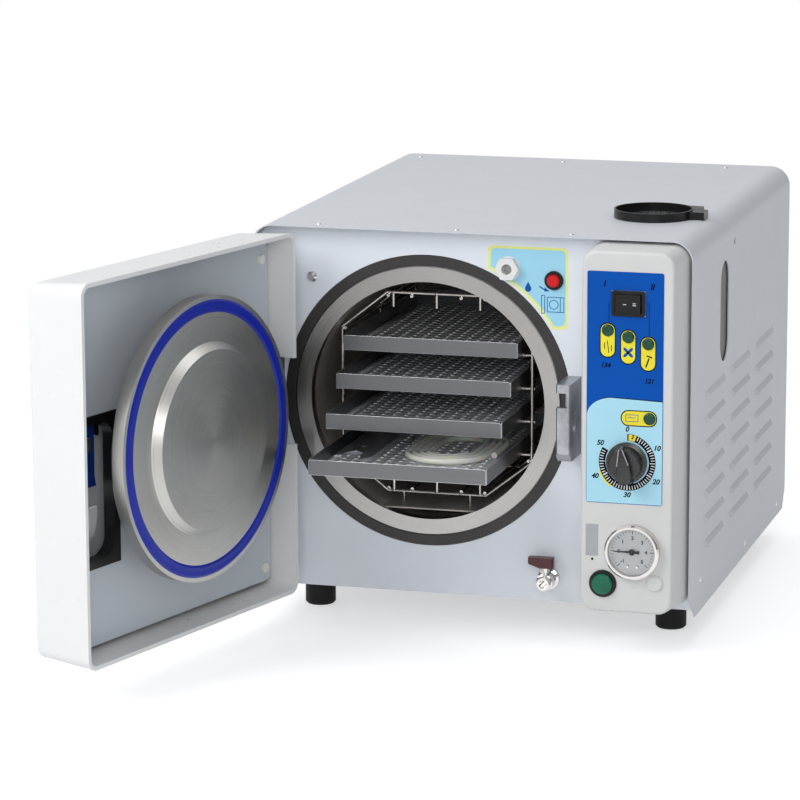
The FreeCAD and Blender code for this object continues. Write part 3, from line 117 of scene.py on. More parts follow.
# Materials
class Nodes:
    """One material's node tree, with short ways to add and join nodes."""

    def __init__(self, name):
        self.material = bpy.data.materials.new(name)
        self.material.use_nodes = True
        self.tree = self.material.node_tree
        self.tree.nodes.clear()
        self.shader = self.add("ShaderNodeBsdfPrincipled")
        self.out = self.add("ShaderNodeOutputMaterial")
        self.join(self.shader, "BSDF", self.out, "Surface")

    def add(self, kind, **settings):
        node = self.tree.nodes.new(kind)
        for key, value in settings.items():
            setattr(node, key, value)
        return node

    def join(self, start, out, end, into):
        self.tree.links.new(start.outputs[out], end.inputs[into])

    def place(self, scale=(1, 1, 1)):
        """Object coordinates in metres, stretched by scale."""
        where = self.add("ShaderNodeTexCoord")
        mapping = self.add("ShaderNodeMapping")
        mapping.inputs["Scale"].default_value = scale
        self.join(where, "Object", mapping, "Vector")
        return mapping

    def round_place(self, centre, axis, scale):
        """Distance from an axis, as the coordinate of rings about it."""
        where = self.add("ShaderNodeTexCoord")
        shift = self.add("ShaderNodeVectorMath", operation="SUBTRACT")
        shift.inputs[1].default_value = centre
        self.join(where, "Object", shift, 0)
        cross = self.add("ShaderNodeVectorMath", operation="CROSS_PRODUCT")
        cross.inputs[1].default_value = axis
        self.join(shift, "Vector", cross, 0)
        far = self.add("ShaderNodeVectorMath", operation="LENGTH")
        self.join(cross, "Vector", far, 0)
        times = self.add("ShaderNodeMath", operation="MULTIPLY")
        times.inputs[1].default_value = scale
        self.join(far, "Value", times, 0)
        joined = self.add("ShaderNodeCombineXYZ")
        self.join(times, "Value", joined, "X")
        return joined, cross

    def noise(self, place, scale, detail=3.0, rough=0.55):
        node = self.add("ShaderNodeTexNoise")
        node.inputs["Scale"].default_value = scale
        node.inputs["Detail"].default_value = detail
        node.inputs["Roughness"].default_value = rough
        self.join(place, "Vector", node, "Vector")
        return node

    def spread(self, source, low, high, start=0.3, end=0.7):
        node = self.add("ShaderNodeMapRange")
        for key, value in (("From Min", start), ("From Max", end), ("To Min", low), ("To Max", high)):
            node.inputs[key].default_value = value
        self.join(source, 0, node, "Value")
        return node

    def tint(self, source, first, second, start=0.35, end=0.65):
        ramp = self.add("ShaderNodeValToRGB")
        ramp.color_ramp.elements[0].position = start
        ramp.color_ramp.elements[1].position = end
        ramp.color_ramp.elements[0].color = (*first, 1)
        ramp.color_ramp.elements[1].color = (*second, 1)
        self.join(source, 0, ramp, "Fac")
        return ramp

    def bump(self, source, strength, distance, before=None):
        node = self.add("ShaderNodeBump")
        node.inputs["Strength"].default_value = strength
        node.inputs["Distance"].default_value = distance
        self.join(source, 0, node, "Height")
        if before:
            self.join(before, "Normal", node, "Normal")
        return node


def shade(color, amount):
    return tuple(max(0.0, min(1.0, channel * amount)) for channel in color)


def surface(name, color, rough=0.4, metal=0.0, vary=0.05, grain=1800.0, grain_depth=0.00002, grain_strength=0.15,
            coat=0.0, ior=1.5, specular=0.5, rough_vary=0.06, blotch=14.0, transmission=0.0, glow=0.0,
            alpha=1.0, subsurface=0.0):
    """Paint, plastic, rubber or cast metal: soft colour blotches, uneven gloss and fine grain."""
    n = Nodes(name)
    place = n.place()
    wide = n.noise(place, blotch, 4.0)
    fine = n.noise(place, grain, 2.0)
    n.join(n.tint(wide, shade(color, 1 - vary), shade(color, 1 + vary)), "Color", n.shader, "Base Color")
    n.join(n.spread(n.noise(place, blotch * 9, 3.0), rough - rough_vary, rough + rough_vary),
           "Result", n.shader, "Roughness")
    n.join(n.bump(fine, grain_strength, grain_depth), "Normal", n.shader, "Normal")
    sockets = n.shader.inputs
    sockets["Metallic"].default_value = metal
    sockets["Coat Weight"].default_value = coat
    sockets["Coat Roughness"].default_value = 0.08
    sockets["IOR"].default_value = ior
    sockets["Specular IOR Level"].default_value = specular
    sockets["Transmission Weight"].default_value = transmission
    sockets["Alpha"].default_value = alpha
    sockets["Subsurface Weight"].default_value = subsurface
    sockets["Subsurface Radius"].default_value = (0.004, 0.003, 0.002)
    if glow:
        sockets["Emission Color"].default_value = (*color, 1)
        sockets["Emission Strength"].default_value = glow
    return n.material


def brushed(name, color, rough, stretch=(12, 900, 900), contrast=0.10, round_about=None, depth=0.00002,
            strength=0.25, anisotropy=0.0, stain=0.04):
    """Brushed metal: long scratches along one axis, or rings about one."""
    n = Nodes(name)
    if round_about:
        centre, axis = round_about
        lines, cross = n.round_place(centre, axis, 1400.0)
    else:
        lines, cross = n.place(stretch), None
    scratch = n.noise(lines, 1.0, 5.0, 0.65)
    stains = n.noise(n.place(), 9.0, 3.0)
    tone = n.tint(scratch, shade(color, 1 - contrast), shade(color, 1 + contrast))
    soft = n.tint(stains, shade((1, 1, 1), 1 - stain), (1, 1, 1))
    mix = n.add("ShaderNodeMix", data_type="RGBA", blend_type="MULTIPLY")
    mix.inputs["Factor"].default_value = 1.0
    n.tree.links.new(tone.outputs["Color"], mix.inputs[6])
    n.tree.links.new(soft.outputs["Color"], mix.inputs[7])
    n.tree.links.new(mix.outputs[2], n.shader.inputs["Base Color"])
    n.join(n.spread(scratch, rough - 0.07, rough + 0.07), "Result", n.shader, "Roughness")
    n.join(n.bump(scratch, strength, depth), "Normal", n.shader, "Normal")
    n.shader.inputs["Metallic"].default_value = 1.0
    n.shader.inputs["Anisotropic"].default_value = anisotropy
    if cross and anisotropy:
        world = n.add("ShaderNodeVectorTransform", vector_type="VECTOR", convert_from="OBJECT",
                      convert_to="WORLD")
        n.join(cross, "Vector", world, "Vector")
        n.join(world, "Vector", n.shader, "Tangent")
    return n.material


lid_low, lid_high = (Vector(corner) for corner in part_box("lid_disc"))
LID_CENTRE = (lid_low + lid_high) / 2
LID_AXIS = DOOR.to_3x3() @ Vector((0, 1, 0))
CHAMBER = Vector((CHAMBER_X, 0, CHAMBER_Z)) * MM

M = {
    "cover": surface("cover_paint", (0.63, 0.65, 0.685), 0.42, vary=0.012, grain=900, grain_strength=0.3,
                     grain_depth=0.00004, specular=0.4, rough_vary=0.04),
    "panel": surface("panel_paint", (0.79, 0.825, 0.885), 0.38, vary=0.012, grain=900, grain_strength=0.25,
                     grain_depth=0.00004, specular=0.45),
    "inner": surface("lining_paint", (0.58, 0.62, 0.67), 0.42, vary=0.012, grain=1000, specular=0.35),
    "white": surface("door_white", (0.84, 0.84, 0.835), 0.33, vary=0.008, grain=700, grain_strength=0.10,
                     subsurface=0.03, specular=0.4),
    "bezel": surface("bezel_plastic", (0.69, 0.685, 0.675), 0.45, vary=0.012, grain=1500, grain_strength=0.35,
                     grain_depth=0.00005, specular=0.4),
    "rubber": surface("black_rubber", (0.012, 0.011, 0.011), 0.62, vary=0.15, grain=600, grain_strength=0.4,
                      specular=0.25),
    "trim": surface("ring_rubber", (0.028, 0.025, 0.025), 0.40, vary=0.15, grain=700, grain_strength=0.4,
                    specular=0.5),
    "black": surface("black_plastic", (0.008, 0.008, 0.009), 0.33, vary=0.1, grain=1200, grain_strength=0.3,
                     specular=0.3),
    "knob": surface("knob_plastic", (0.022, 0.021, 0.021), 0.27, vary=0.1, grain=1600, grain_strength=0.3,
                    specular=0.6),
    "window": surface("slot_gloss", (0.006, 0.006, 0.007), 0.30, vary=0.05, specular=0.12, rough_vary=0.02),
    "overlay": surface("overlay_blue", (0.001, 0.085, 0.44), 0.34, vary=0.03, specular=0.10, rough_vary=0.03),
    "sky": surface("label_light_blue", (0.43, 0.76, 0.90), 0.32, vary=0.02, specular=0.3, rough_vary=0.03),
    "sticker": surface("sticker_light_blue", (0.36, 0.70, 0.88), 0.35, vary=0.02, specular=0.3),
    "yellow": surface("label_yellow", (0.90, 0.78, 0.05), 0.35, vary=0.03, specular=0.2),
    "pale_yellow": surface("sticker_yellow", (0.84, 0.88, 0.30), 0.35, vary=0.03, specular=0.3),
    "ink": surface("label_ink", (0.003, 0.004, 0.012), 0.5, vary=0.1, specular=0.05),
    "navy_ink": surface("icon_ink", (0.01, 0.10, 0.40), 0.45, vary=0.1, specular=0.1),
    "white_ink": surface("white_ink", (0.86, 0.86, 0.86), 0.4, vary=0.02),
    "grey_label": surface("grey_label", (0.40, 0.41, 0.43), 0.45, vary=0.03),
    "green": surface("lamp_green", (0.0, 0.060, 0.030), 0.14, vary=0.25, blotch=160, rough_vary=0.04,
                     specular=0.45, grain=500, grain_strength=0.5, grain_depth=0.0001),
    "button_green": surface("button_green", (0.0, 0.13, 0.065), 0.16, vary=0.12, blotch=60, specular=0.35),
    "red": surface("button_red", (0.66, 0.006, 0.008), 0.22, vary=0.05, specular=0.3),
    "lever_red": surface("lever_red", (0.07, 0.006, 0.010), 0.30, vary=0.12, specular=0.5),
    "port": surface("port_white", (0.82, 0.82, 0.80), 0.35, vary=0.02, subsurface=0.05),
    "dial": surface("dial_white", (0.74, 0.74, 0.75), 0.40, vary=0.015),
    "needle": surface("needle_black", (0.006, 0.006, 0.008), 0.35, vary=0.05, specular=0.2),
    "gasket": surface("gasket_blue", (0.004, 0.018, 0.36), 0.36, vary=0.05, grain=300, grain_strength=0.10,
                      specular=0.3),
    "handle": surface("handle_blue", (0.010, 0.045, 0.30), 0.20, vary=0.08, specular=0.5),
    "cast": surface("keeper_cast", (0.40, 0.42, 0.45), 0.36, metal=0.9, vary=0.18, grain=420, blotch=70,
                    grain_strength=0.6, grain_depth=0.00014, rough_vary=0.12),
    "silicone": surface("clear_silicone", (0.93, 0.94, 0.85), 0.20, vary=0.03, grain=200, coat=0.3,
                        subsurface=0.8, ior=1.41),
    "tank": surface("tank_plastic", (0.70, 0.72, 0.72), 0.4, vary=0.03, subsurface=0.1),
    "cap": surface("cap_cream", (0.84, 0.82, 0.74), 0.4, vary=0.02),
    "wool": surface("lagging_wool", (0.45, 0.44, 0.41), 0.85, vary=0.12, grain=300, grain_strength=0.9,
                    grain_depth=0.001),
    # Steel painted darker than bare steel: painted shade deep inside the chamber; its blotches are random stains
    "vessel": surface("vessel_painted_shade_steel", (0.36, 0.33, 0.30), 0.42, metal=0.45, vary=0.20, grain=700, blotch=9,
                      grain_strength=0.3, grain_depth=0.00004, rough_vary=0.08),
    "flange": brushed("flange_steel", (0.46, 0.45, 0.44), 0.30, round_about=(CHAMBER, (0, 1, 0)),
                      contrast=0.06, anisotropy=0.5, stain=0.10),
    "lid": brushed("lid_steel", (0.50, 0.495, 0.475), 0.30, round_about=(LID_CENTRE, LID_AXIS),
                   contrast=0.07, anisotropy=0.6, stain=0.03),
    "tray": surface("tray_aluminium", (0.62, 0.625, 0.645), 0.40, metal=0.35, vary=0.05, grain=1200,
                    grain_strength=0.3, specular=0.5),
    # Darker copy of the tray aluminium for the upright walls: painted shade standing in for their dark reflections
    "flap": brushed("tray_flap_aluminium", (0.20, 0.203, 0.215), 0.34, stretch=(10, 700, 1500), contrast=0.06),
    # Brighter copy of the tray aluminium for the bevelled rims: a painted highlight along the tray edges
    "tray_edge": brushed("tray_edge", (0.86, 0.87, 0.90), 0.30, stretch=(10, 700, 1500), contrast=0.05),
    "lifter": brushed("lifter_aluminium", (0.80, 0.81, 0.86), 0.34, stretch=(700, 14, 700), contrast=0.05),
    "wire": surface("wire_steel", (0.62, 0.59, 0.56), 0.24, metal=1.0, vary=0.16, grain=500, blotch=60),
    "chrome": surface("chrome", (0.70, 0.68, 0.66), 0.10, metal=1.0, vary=0.03, grain_strength=0.05,
                      rough_vary=0.04),
    "steel": brushed("turned_steel", (0.52, 0.52, 0.52), 0.26, stretch=(600, 600, 16)),
}


def glass_material():
    n = Nodes("gauge_glass")
    clear = n.add("ShaderNodeBsdfTransparent")
    gloss = n.add("ShaderNodeBsdfGlossy")
    scratch = n.noise(n.place(), 400.0)
    n.join(n.spread(scratch, 0.03, 0.07), "Result", gloss, "Roughness")
    weight = n.add("ShaderNodeFresnel")
    weight.inputs["IOR"].default_value = 1.35
    mix = n.add("ShaderNodeMixShader")
    n.join(weight, "Fac", mix, "Fac")
    n.join(clear, "BSDF", mix, 1)
    n.join(gloss, "BSDF", mix, 2)
    n.join(mix, "Shader", n.out, "Surface")
    n.tree.nodes.remove(n.shader)
    return n.material


M["glass"] = glass_material()

DRESS = {
    "cover": ["outer_cover", "rear_panel", "base_chassis"],
    "panel": ["front_panel"],
    "rubber": ["rubber_feet", "mains_inlet"],
    "trim": ["chamber_trim_ring"],
    "black": ["rocker_frame", "rocker_paddle", "hinge_bracket", "door_arm", "lock_housing", "filler_collar",
              "power_button_ring", "release_button_ring"],
    "knob": ["timer_knob"],
    "window": ["level_window"],
    "vessel": ["chamber_vessel", "chamber_floor_plate"],
    "flange": ["chamber_flange"],
    "lid": ["lid_disc"],
    "tray": ["heater_band"],
    "lifter": ["tray_lifter"],
    "wire": ["tray_rack", "tray_rails"],
    "chrome": ["drain_tap", "drain_stem", "gauge_case", "panel_stud", "keeper_screws", "safety_valve"],
    "steel": ["filler_neck", "hinge_pin", "handle_pivot_pin", "lock_hook"],
    "wool": ["insulation_jacket"],
    "bezel": ["control_bezel", "timer_body", "blank_plug"],
    "overlay": ["control_overlay"],
    "green": ["indicator_lamps"],
    "button_green": ["power_button"],
    "red": ["release_button"],
    "lever_red": ["drain_lever"],
    "dial": ["gauge_dial"],
    "port": ["air_port"],
    "needle": ["gauge_needle"],
    "glass": ["gauge_glass"],
    "cast": ["latch_keeper"],
    "white": ["door_shell"],
    "inner": ["door_inner_panel"],
    "gasket": ["lid_gasket"],
    "handle": ["door_handle"],
    "tank": ["water_tank"],
    "cap": ["door_panel_caps"],
}


def dress(thing, material):
    if not thing.material_slots:
        thing.data.materials.append(material)
    for slot in thing.material_slots:
        slot.material = material


for key, names in DRESS.items():
    for name in names:
        dress(NODES[name], M[key])
dress(hose, M["silicone"])


# Ways to build the added pieces
def add_mesh(name, build, material, body, place=None, bevel=0.0, smooth=True):
    """A new mesh piece from a function that fills a bmesh, in millimetres."""
    mesh = bpy.data.meshes.new(name)
    work = bmesh.new()
    build(work)
    bmesh.ops.recalc_face_normals(work, faces=work.faces)
    bmesh.ops.scale(work, vec=(MM, MM, MM), verts=work.verts)
    work.to_mesh(mesh)
    work.free()
    thing = bpy.data.objects.new(name, mesh)
    bpy.context.scene.collection.objects.link(thing)
    if place is not None:
        thing.matrix_world = place
    mesh.materials.append(material)
    if bevel:
        edge = thing.modifiers.new("edge", "BEVEL")
        edge.width = bevel * MM
        edge.segments = 2
        edge.limit_method = "ANGLE"
        edge.angle_limit = math.radians(40)
        edge.harden_normals = True
    if smooth:
        mesh.shade_smooth()
        mesh.set_sharp_from_angle(angle=math.radians(35))
    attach(thing, body)
    return thing


def rounded_outline(left, right, low, high, radius, steps=5, corners=(True, True, True, True)):
    """Corners run from low right, counter-clockwise."""
    outline = []
    spots = ((right, low, 1, -1, -90), (right, high, 1, 1, 0), (left, high, -1, 1, 90), (left, low, -1, -1, 180))
    for keep, (x, y, sx, sy, start) in zip(corners, spots):
        if not keep:
            outline.append((x, y))
            continue
        for step in range(steps + 1):
            turn = math.radians(start + 90 * step / steps)
            outline.append((x - sx * radius + radius * math.cos(turn), y - sy * radius + radius * math.sin(turn)))
    return outline


def circle_outline(x, y, radius, steps=48):
    return [(x + radius * math.cos(2 * math.pi * k / steps), y + radius * math.sin(2 * math.pi * k / steps))
            for k in range(steps)]


def flat(name, loops, y, gauge, material, body, place=FRONT, bevel=0.0):
    """A thin plate that faces the front, with holes where loops lie in each other."""
    curve = bpy.data.curves.new(name, "CURVE")
    curve.dimensions = "2D"
    curve.fill_mode = "BOTH"
    curve.extrude = gauge / 2 * MM
    curve.bevel_depth = bevel * MM
    for loop in loops:
        line = curve.splines.new("POLY")
        line.points.add(len(loop) - 1)
        line.use_cyclic_u = True
        for spot, (a, b) in zip(line.points, loop):
            spot.co = (a * MM, b * MM, 0, 1)
    thing = bpy.data.objects.new(name, curve)
    bpy.context.scene.collection.objects.link(thing)
    thing.matrix_world = Matrix.Translation((0, (y - gauge / 2) * MM, 0)) @ place
    curve.materials.append(material)
    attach(thing, body)
    return thing


def write(name, text, x, z, size, y, material, body, shear=0.25, turn=0.0, weight=0.035, gauge=0.06):
    """Plain numbers and marks printed on a face."""
    font = bpy.data.curves.new(name, "FONT")
    font.body = text
    font.size = size * MM
    font.align_x = "CENTER"
    font.align_y = "CENTER"
    font.shear = shear
    font.offset = weight * MM * size
    font.extrude = gauge / 2 * MM
    thing = bpy.data.objects.new(name, font)
    bpy.context.scene.collection.objects.link(thing)
    thing.matrix_world = (Matrix.Translation((x * MM, (y - gauge / 2) * MM, z * MM)) @ FRONT
                          @ Matrix.Rotation(math.radians(turn), 4, "Z"))
    font.materials.append(material)
    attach(thing, body)
    return thing


def lathe(name, profile, centre, axis, material, body, steps=32):
    """A turned piece: profile of (radius, height along axis) in millimetres."""
    def build(work):
        rings = []
        for radius, height in profile:
            if radius < 1e-6:
                rings.append([work.verts.new((0, 0, height))])
                continue
            rings.append([work.verts.new((radius * math.cos(2 * math.pi * k / steps),
                                          radius * math.sin(2 * math.pi * k / steps), height))
                          for k in range(steps)])
        for one, two in zip(rings, rings[1:]):
            for k in range(steps):
                after = (k + 1) % steps
                corners = [one[k % len(one)], one[after % len(one)], two[after % len(two)], two[k % len(two)]]
                face = list(dict.fromkeys(corners))
                if len(face) > 2:
                    work.faces.new(face)
    turn = Vector((0, 0, 1)).rotation_difference(Vector(axis)).to_matrix().to_4x4()
    return add_mesh(name, build, material, body, Matrix.Translation(Vector(centre) * MM) @ turn)


# Perforated trays, each a punched floor with four folded flaps
TRAY_WIDTH, TRAY_LENGTH, TRAY_HEIGHT = 172.0, 262.0, 14.6
TRAY_TOP, TRAY_PITCH = 284.4, 32.3
PULLS = (4.5, 30.5, 64.5, 121.0)
HOLE_COLUMNS, HOLE_ROWS, HOLE_PITCH_X, HOLE_PITCH_Y = 14, 21, 11.1, 11.7
HOLE_RADIUS, HOLE_LIP, FLAP = 2.3, 0.75, 0.9


def square_rim(x, y, half_x, half_y, steps):
    """Points of a rectangle's rim that face the points of a circle in it."""
    rim = []
    for k in range(steps):
        turn = 2 * math.pi * k / steps
        c, s = math.cos(turn), math.sin(turn)
        reach = 1 / max(abs(c) / half_x, abs(s) / half_y)
        rim.append((x + reach * c, y + reach * s))
    return rim


def tray_floor(work, low, high, z):
    """Floor with rows of holes, whose lips are pressed down."""
    steps = 16
    mid_x = (low[0] + high[0]) / 2
    mid_y = (low[1] + high[1]) / 2
    first_x = mid_x - (HOLE_COLUMNS - 1) / 2 * HOLE_PITCH_X
    first_y = mid_y - (HOLE_ROWS - 1) / 2 * HOLE_PITCH_Y
    levels = ((HOLE_RADIUS + HOLE_LIP, 0.0), (HOLE_RADIUS + HOLE_LIP / 3, -0.25), (HOLE_RADIUS, -0.9),
              (HOLE_RADIUS + 0.1, -1.7))
    for column in range(HOLE_COLUMNS):
        for row in range(HOLE_ROWS):
            x, y = first_x + column * HOLE_PITCH_X, first_y + row * HOLE_PITCH_Y
            rings = [[work.verts.new((*spot, z)) for spot in
                      square_rim(x, y, HOLE_PITCH_X / 2, HOLE_PITCH_Y / 2, steps)]]
            for radius, drop in levels:
                rings.append([work.verts.new((x + radius * math.cos(2 * math.pi * k / steps),
                                              y + radius * math.sin(2 * math.pi * k / steps), z + drop))
                              for k in range(steps)])
            for one, two in zip(rings, rings[1:]):
                for k in range(steps):
                    work.faces.new((one[k], one[(k + 1) % steps], two[(k + 1) % steps], two[k]))
    left, right = first_x - HOLE_PITCH_X / 2, first_x + (HOLE_COLUMNS - 0.5) * HOLE_PITCH_X
    front, back = first_y - HOLE_PITCH_Y / 2, first_y + (HOLE_ROWS - 0.5) * HOLE_PITCH_Y
    for x0, x1, y0, y1 in ((low[0], left, low[1], high[1]), (right, high[0], low[1], high[1]),
                           (left, right, low[1], front), (left, right, back, high[1])):
        work.faces.new([work.verts.new(spot) for spot in ((x0, y0, z), (x1, y0, z), (x1, y1, z), (x0, y1, z))])


def tray_flap(work, start, along, inward, length, height, z):
    """An upright folded wall with rounded upper corners."""
    outline = rounded_outline(0, length, 0, height, 3.0, corners=(False, True, True, False))
    faces = []
    for depth in (0.0, FLAP):
        faces.append([work.verts.new((start[0] + along[0] * u + inward[0] * depth,
                                      start[1] + along[1] * u + inward[1] * depth, z + v)) for u, v in outline])
    work.faces.new(faces[0])
    work.faces.new(faces[1][::-1])
    for k in range(len(outline)):
        after = (k + 1) % len(outline)
        work.faces.new((faces[0][after], faces[0][k], faces[1][k], faces[1][after]))


BODIES = ("top_tray", "second_tray", "third_tray", "bottom_tray")
for index, (pull, body) in enumerate(zip(PULLS, BODIES)):
    left, front = CHAMBER_X - TRAY_WIDTH / 2, PANEL + 14 - pull
    base = TRAY_TOP - index * TRAY_PITCH - TRAY_HEIGHT
    right, back = left + TRAY_WIDTH, front + TRAY_LENGTH

    def floor_build(work):
        tray_floor(work, (left + 0.4, front + 0.4), (right - 0.4, back - 0.4), base + 1.0)

    def flap_build(work):
        gap = FLAP + 0.35
        tray_flap(work, (left + 0.35, front), (1, 0), (0, 1), TRAY_WIDTH - 0.7, TRAY_HEIGHT, base)
        tray_flap(work, (right - 0.35, back), (-1, 0), (0, -1), TRAY_WIDTH - 0.7, TRAY_HEIGHT, base)
        tray_flap(work, (left, back - gap), (0, -1), (1, 0), TRAY_LENGTH - 2 * gap, TRAY_HEIGHT, base)
        tray_flap(work, (right, front + gap), (0, 1), (-1, 0), TRAY_LENGTH - 2 * gap, TRAY_HEIGHT, base)

    floor = add_mesh("tray_floor_%d" % (index + 1), floor_build, M["tray"], body)
    thick = floor.modifiers.new("thick", "SOLIDIFY")
    thick.thickness = 0.5 * MM
    thick.offset = -1
    floor.modifiers["thick"].use_even_offset = False
    flaps = add_mesh("tray_flaps_%d" % (index + 1), flap_build, M["flap"], body, bevel=0.30)
    # The bevel faces take the brighter copy: a painted highlight on the rims
    flaps.data.materials.append(M["tray_edge"])
    flaps.modifiers["edge"].material = 1
    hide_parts("tray_%d" % (index + 1))


# Weld beads where the rack's wires meet
def bead_build(work):
    half_side, half_top, low, narrow, wire = 94.0, 97.5, 62.0, 49.0, 3.0
    spots = [(narrow - 1.5, half_top - 1.5), (half_side - 1.2, low - 1.2)]
    spots += [(-x, z) for x, z in spots]
    spots += [(x, -z) for x, z in spots]
    spots += [(x, z) for x in (-narrow / 2, narrow / 2) for z in (half_top - 1.6, 1.6 - half_top)]
    spots += [(x, z) for x in (2 * wire - narrow, 0.0, narrow - 2 * wire) for z in (half_top, -half_top)]
    for y in (0.0, 130.0, 260.0):
        for x, z in spots:
            ball = bmesh.ops.create_icosphere(work, subdivisions=2, radius=2.1)
            bmesh.ops.scale(work, vec=(1.1, 0.95, 0.9), verts=ball["verts"])
            bmesh.ops.translate(work, vec=(CHAMBER_X + x, PANEL + 34.5 + y, CHAMBER_Z + z), verts=ball["verts"])


add_mesh("rack_weld_beads", bead_build, M["wire"], "cabinet")

# Light blue sticker round the air port and the release button
def ring_cut(left, right, high, low, radius):
    points = [(right, low + 5), (right, high)]
    points = rounded_outline(left, right, low, high, 5.0, corners=(False, True, True, False))[1:-1]
    arc = []
    start = math.asin((low - CHAMBER_Z) / radius)
    end = math.acos((left - CHAMBER_X) / radius)
    for step in range(17):
        turn = end + (start - end) * step / 16
        arc.append((CHAMBER_X + radius * math.cos(turn), CHAMBER_Z + radius * math.sin(turn)))
    return points + arc + [(right - 5, low), (right - 1.5, low + 1.5), (right, low + 5)]


PORT, RELEASE = (34.0, 357.6), (78.5, 348.1)
openings = [circle_outline(*PORT, 11.8), circle_outline(*RELEASE, 9.2)]
flat("sticker_edge", [ring_cut(14.5, 92.0, 379.0, 301.5, 143.5)] + openings, PANEL, 0.12, M["pale_yellow"],
     "cabinet")
flat("sticker_field", [ring_cut(17.2, 89.6, 376.5, 304.5, 146.4)] + openings, PANEL - 0.12, 0.08, M["sticker"],
     "cabinet")


def strokes(name, lines, width, y, material, body):
    """Printed lines: each a chain of (x, z) points."""
    loops = []
    for line in lines:
        for (x0, z0), (x1, z1) in zip(line, line[1:]):
            dx, dz = x1 - x0, z1 - z0
            far = math.hypot(dx, dz) or 1
            nx, nz = -dz / far * width / 2, dx / far * width / 2
            loops.append([(x0 + nx, z0 + nz), (x0 - nx, z0 - nz), (x1 - nx, z1 - nz), (x1 + nx, z1 + nz)])
    for number, loop in enumerate(loops):
        flat("%s_%02d" % (name, number), [loop], y, 0.06, material, body)


INK_Y = PANEL - 0.2
strokes("machine_icon", [[(72, 332), (88, 332), (88, 318), (72, 318), (72, 332)],
                         [(66.5, 333.5), (69.5, 333.5), (69.5, 316.5), (66.5, 316.5), (66.5, 333.5)],
                         [(84.5, 332), (84.5, 318)]], 0.7, INK_Y, M["navy_ink"], "cabinet")
flat("machine_icon_ring", [circle_outline(78.2, 325, 4.6), circle_outline(78.2, 325, 3.9)], INK_Y, 0.06,
     M["navy_ink"], "cabinet")
flat("release_arrow", [[(64.5, 342.5), (69.5, 339.4), (69.0, 341.4), (74.2, 337.6), (68.6, 337.2), (69.4, 338.2),
                        (64, 341.2)]], INK_Y, 0.06, M["navy_ink"], "cabinet")
flat("drop_icon", [[(53.5, 346), (50.6, 340.6), (50.4, 338.6), (51.4, 336.9), (53.5, 336.2), (55.6, 336.9),
                    (56.6, 338.6), (56.4, 340.6)]], INK_Y, 0.06, M["navy_ink"], "cabinet")

# Control overlay: light blue field, lamp labels, numbers, timer scale
OVER = FACE - 0.5
TIMER, GAUGE = (161.6, 190.2), (167.8, 105.8)
LAMPS = ((142.4, 313.5), (161.7, 308.0), (180.5, 302.3), (182.3, 232.2))


def field_outline(rise):
    low, left, right = 151.0, 123.2, 194.4
    points = [(left, low), (right, low), (right, 248.5 + rise)]
    for step in range(1, 13):
        turn = math.pi / 2 * step / 12
        points.append((148.5 + rise - (148.5 + rise - left) * math.sin(turn),
                       233.0 + (250.5 + rise - 233.0) * math.cos(turn)))
    return points


flat("field_line", [field_outline(0.9), circle_outline(*TIMER, 6)], OVER, 0.06, M["ink"], "cabinet")
flat("light_field", [field_outline(0.0), circle_outline(*TIMER, 6)], OVER - 0.06, 0.06, M["sky"], "cabinet")
for number, (x, z) in enumerate(LAMPS):
    if number < 3:
        edge = rounded_outline(x - 7.6, x + 7.6, z - 25.6, z + 7.2, 7.2, 8)
        fill = rounded_outline(x - 6.6, x + 6.6, z - 24.6, z + 6.2, 6.4, 8)
    else:
        edge = rounded_outline(155.2, x + 7.2, z - 7.7, z + 7.5, 7.2, 8)
        fill = rounded_outline(156.2, x + 6.2, z - 6.7, z + 6.5, 6.4, 8)
    flat("pill_edge_%d" % number, [edge], OVER - 0.12, 0.05, M["ink"], "cabinet")
    flat("pill_%d" % number, [fill], OVER - 0.17, 0.05, M["yellow"], "cabinet")
TOP_INK = OVER - 0.22
strokes("thermometer", [[(142.0, 304), (143.6, 292.5)], [(139.6, 302), (139.6, 296)], [(146, 300), (146, 294)]],
        0.7, TOP_INK, M["ink"], "cabinet")
for turn in range(4):
    angle = math.radians(45 + 90 * turn)
    cx, cz = 161.7 + 3.1 * math.cos(angle), 293.6 + 3.1 * math.sin(angle)
    blade = [(cx + 3.0 * math.cos(t) * math.cos(angle) - 1.5 * math.sin(t) * math.sin(angle),
              cz + 3.0 * math.cos(t) * math.sin(angle) + 1.5 * math.sin(t) * math.cos(angle))
             for t in (2 * math.pi * k / 16 for k in range(16))]
    flat("fan_blade_%d" % turn, [blade], TOP_INK, 0.05, M["navy_ink"], "cabinet")
flat("fan_hub", [circle_outline(161.7, 293.6, 1.3, 20)], TOP_INK, 0.05, M["navy_ink"], "cabinet")
strokes("probe", [[(178.4, 280.6), (181.4, 289.0)], [(179.2, 291.4), (184.4, 289.6)]], 1.3, TOP_INK, M["ink"],
        "cabinet")
strokes("tank_mark", [[(160, 235.3), (171.5, 235.3), (171.5, 229), (160, 229), (160, 235.3)],
                      [(162, 232.4), (164, 233.2), (166, 232.2), (169, 232.6)]], 0.55, TOP_INK, M["navy_ink"],
        "cabinet")
strokes("leader_left", [[(144.9, 340), (143.4, 340), (143.4, 321)]], 0.45, OVER - 0.02, M["ink"], "cabinet")
strokes("leader_right", [[(178.6, 340), (181.2, 340), (181.2, 309.8)]], 0.45, OVER - 0.02, M["ink"], "cabinet")
for text, x, z, size in (("I", 138.8, 356.8, 7.6), ("II", 183.6, 355.4, 7.6), ("134", 140.4, 280.6, 6.0),
                         ("121", 181.6, 267.4, 6.0)):
    write("mark_" + text, text, x, z, size, OVER, M["ink"], "cabinet")

TIMER_SPREAD = 300.0
RING_IN, RING_OUT = 20.6, 26.9


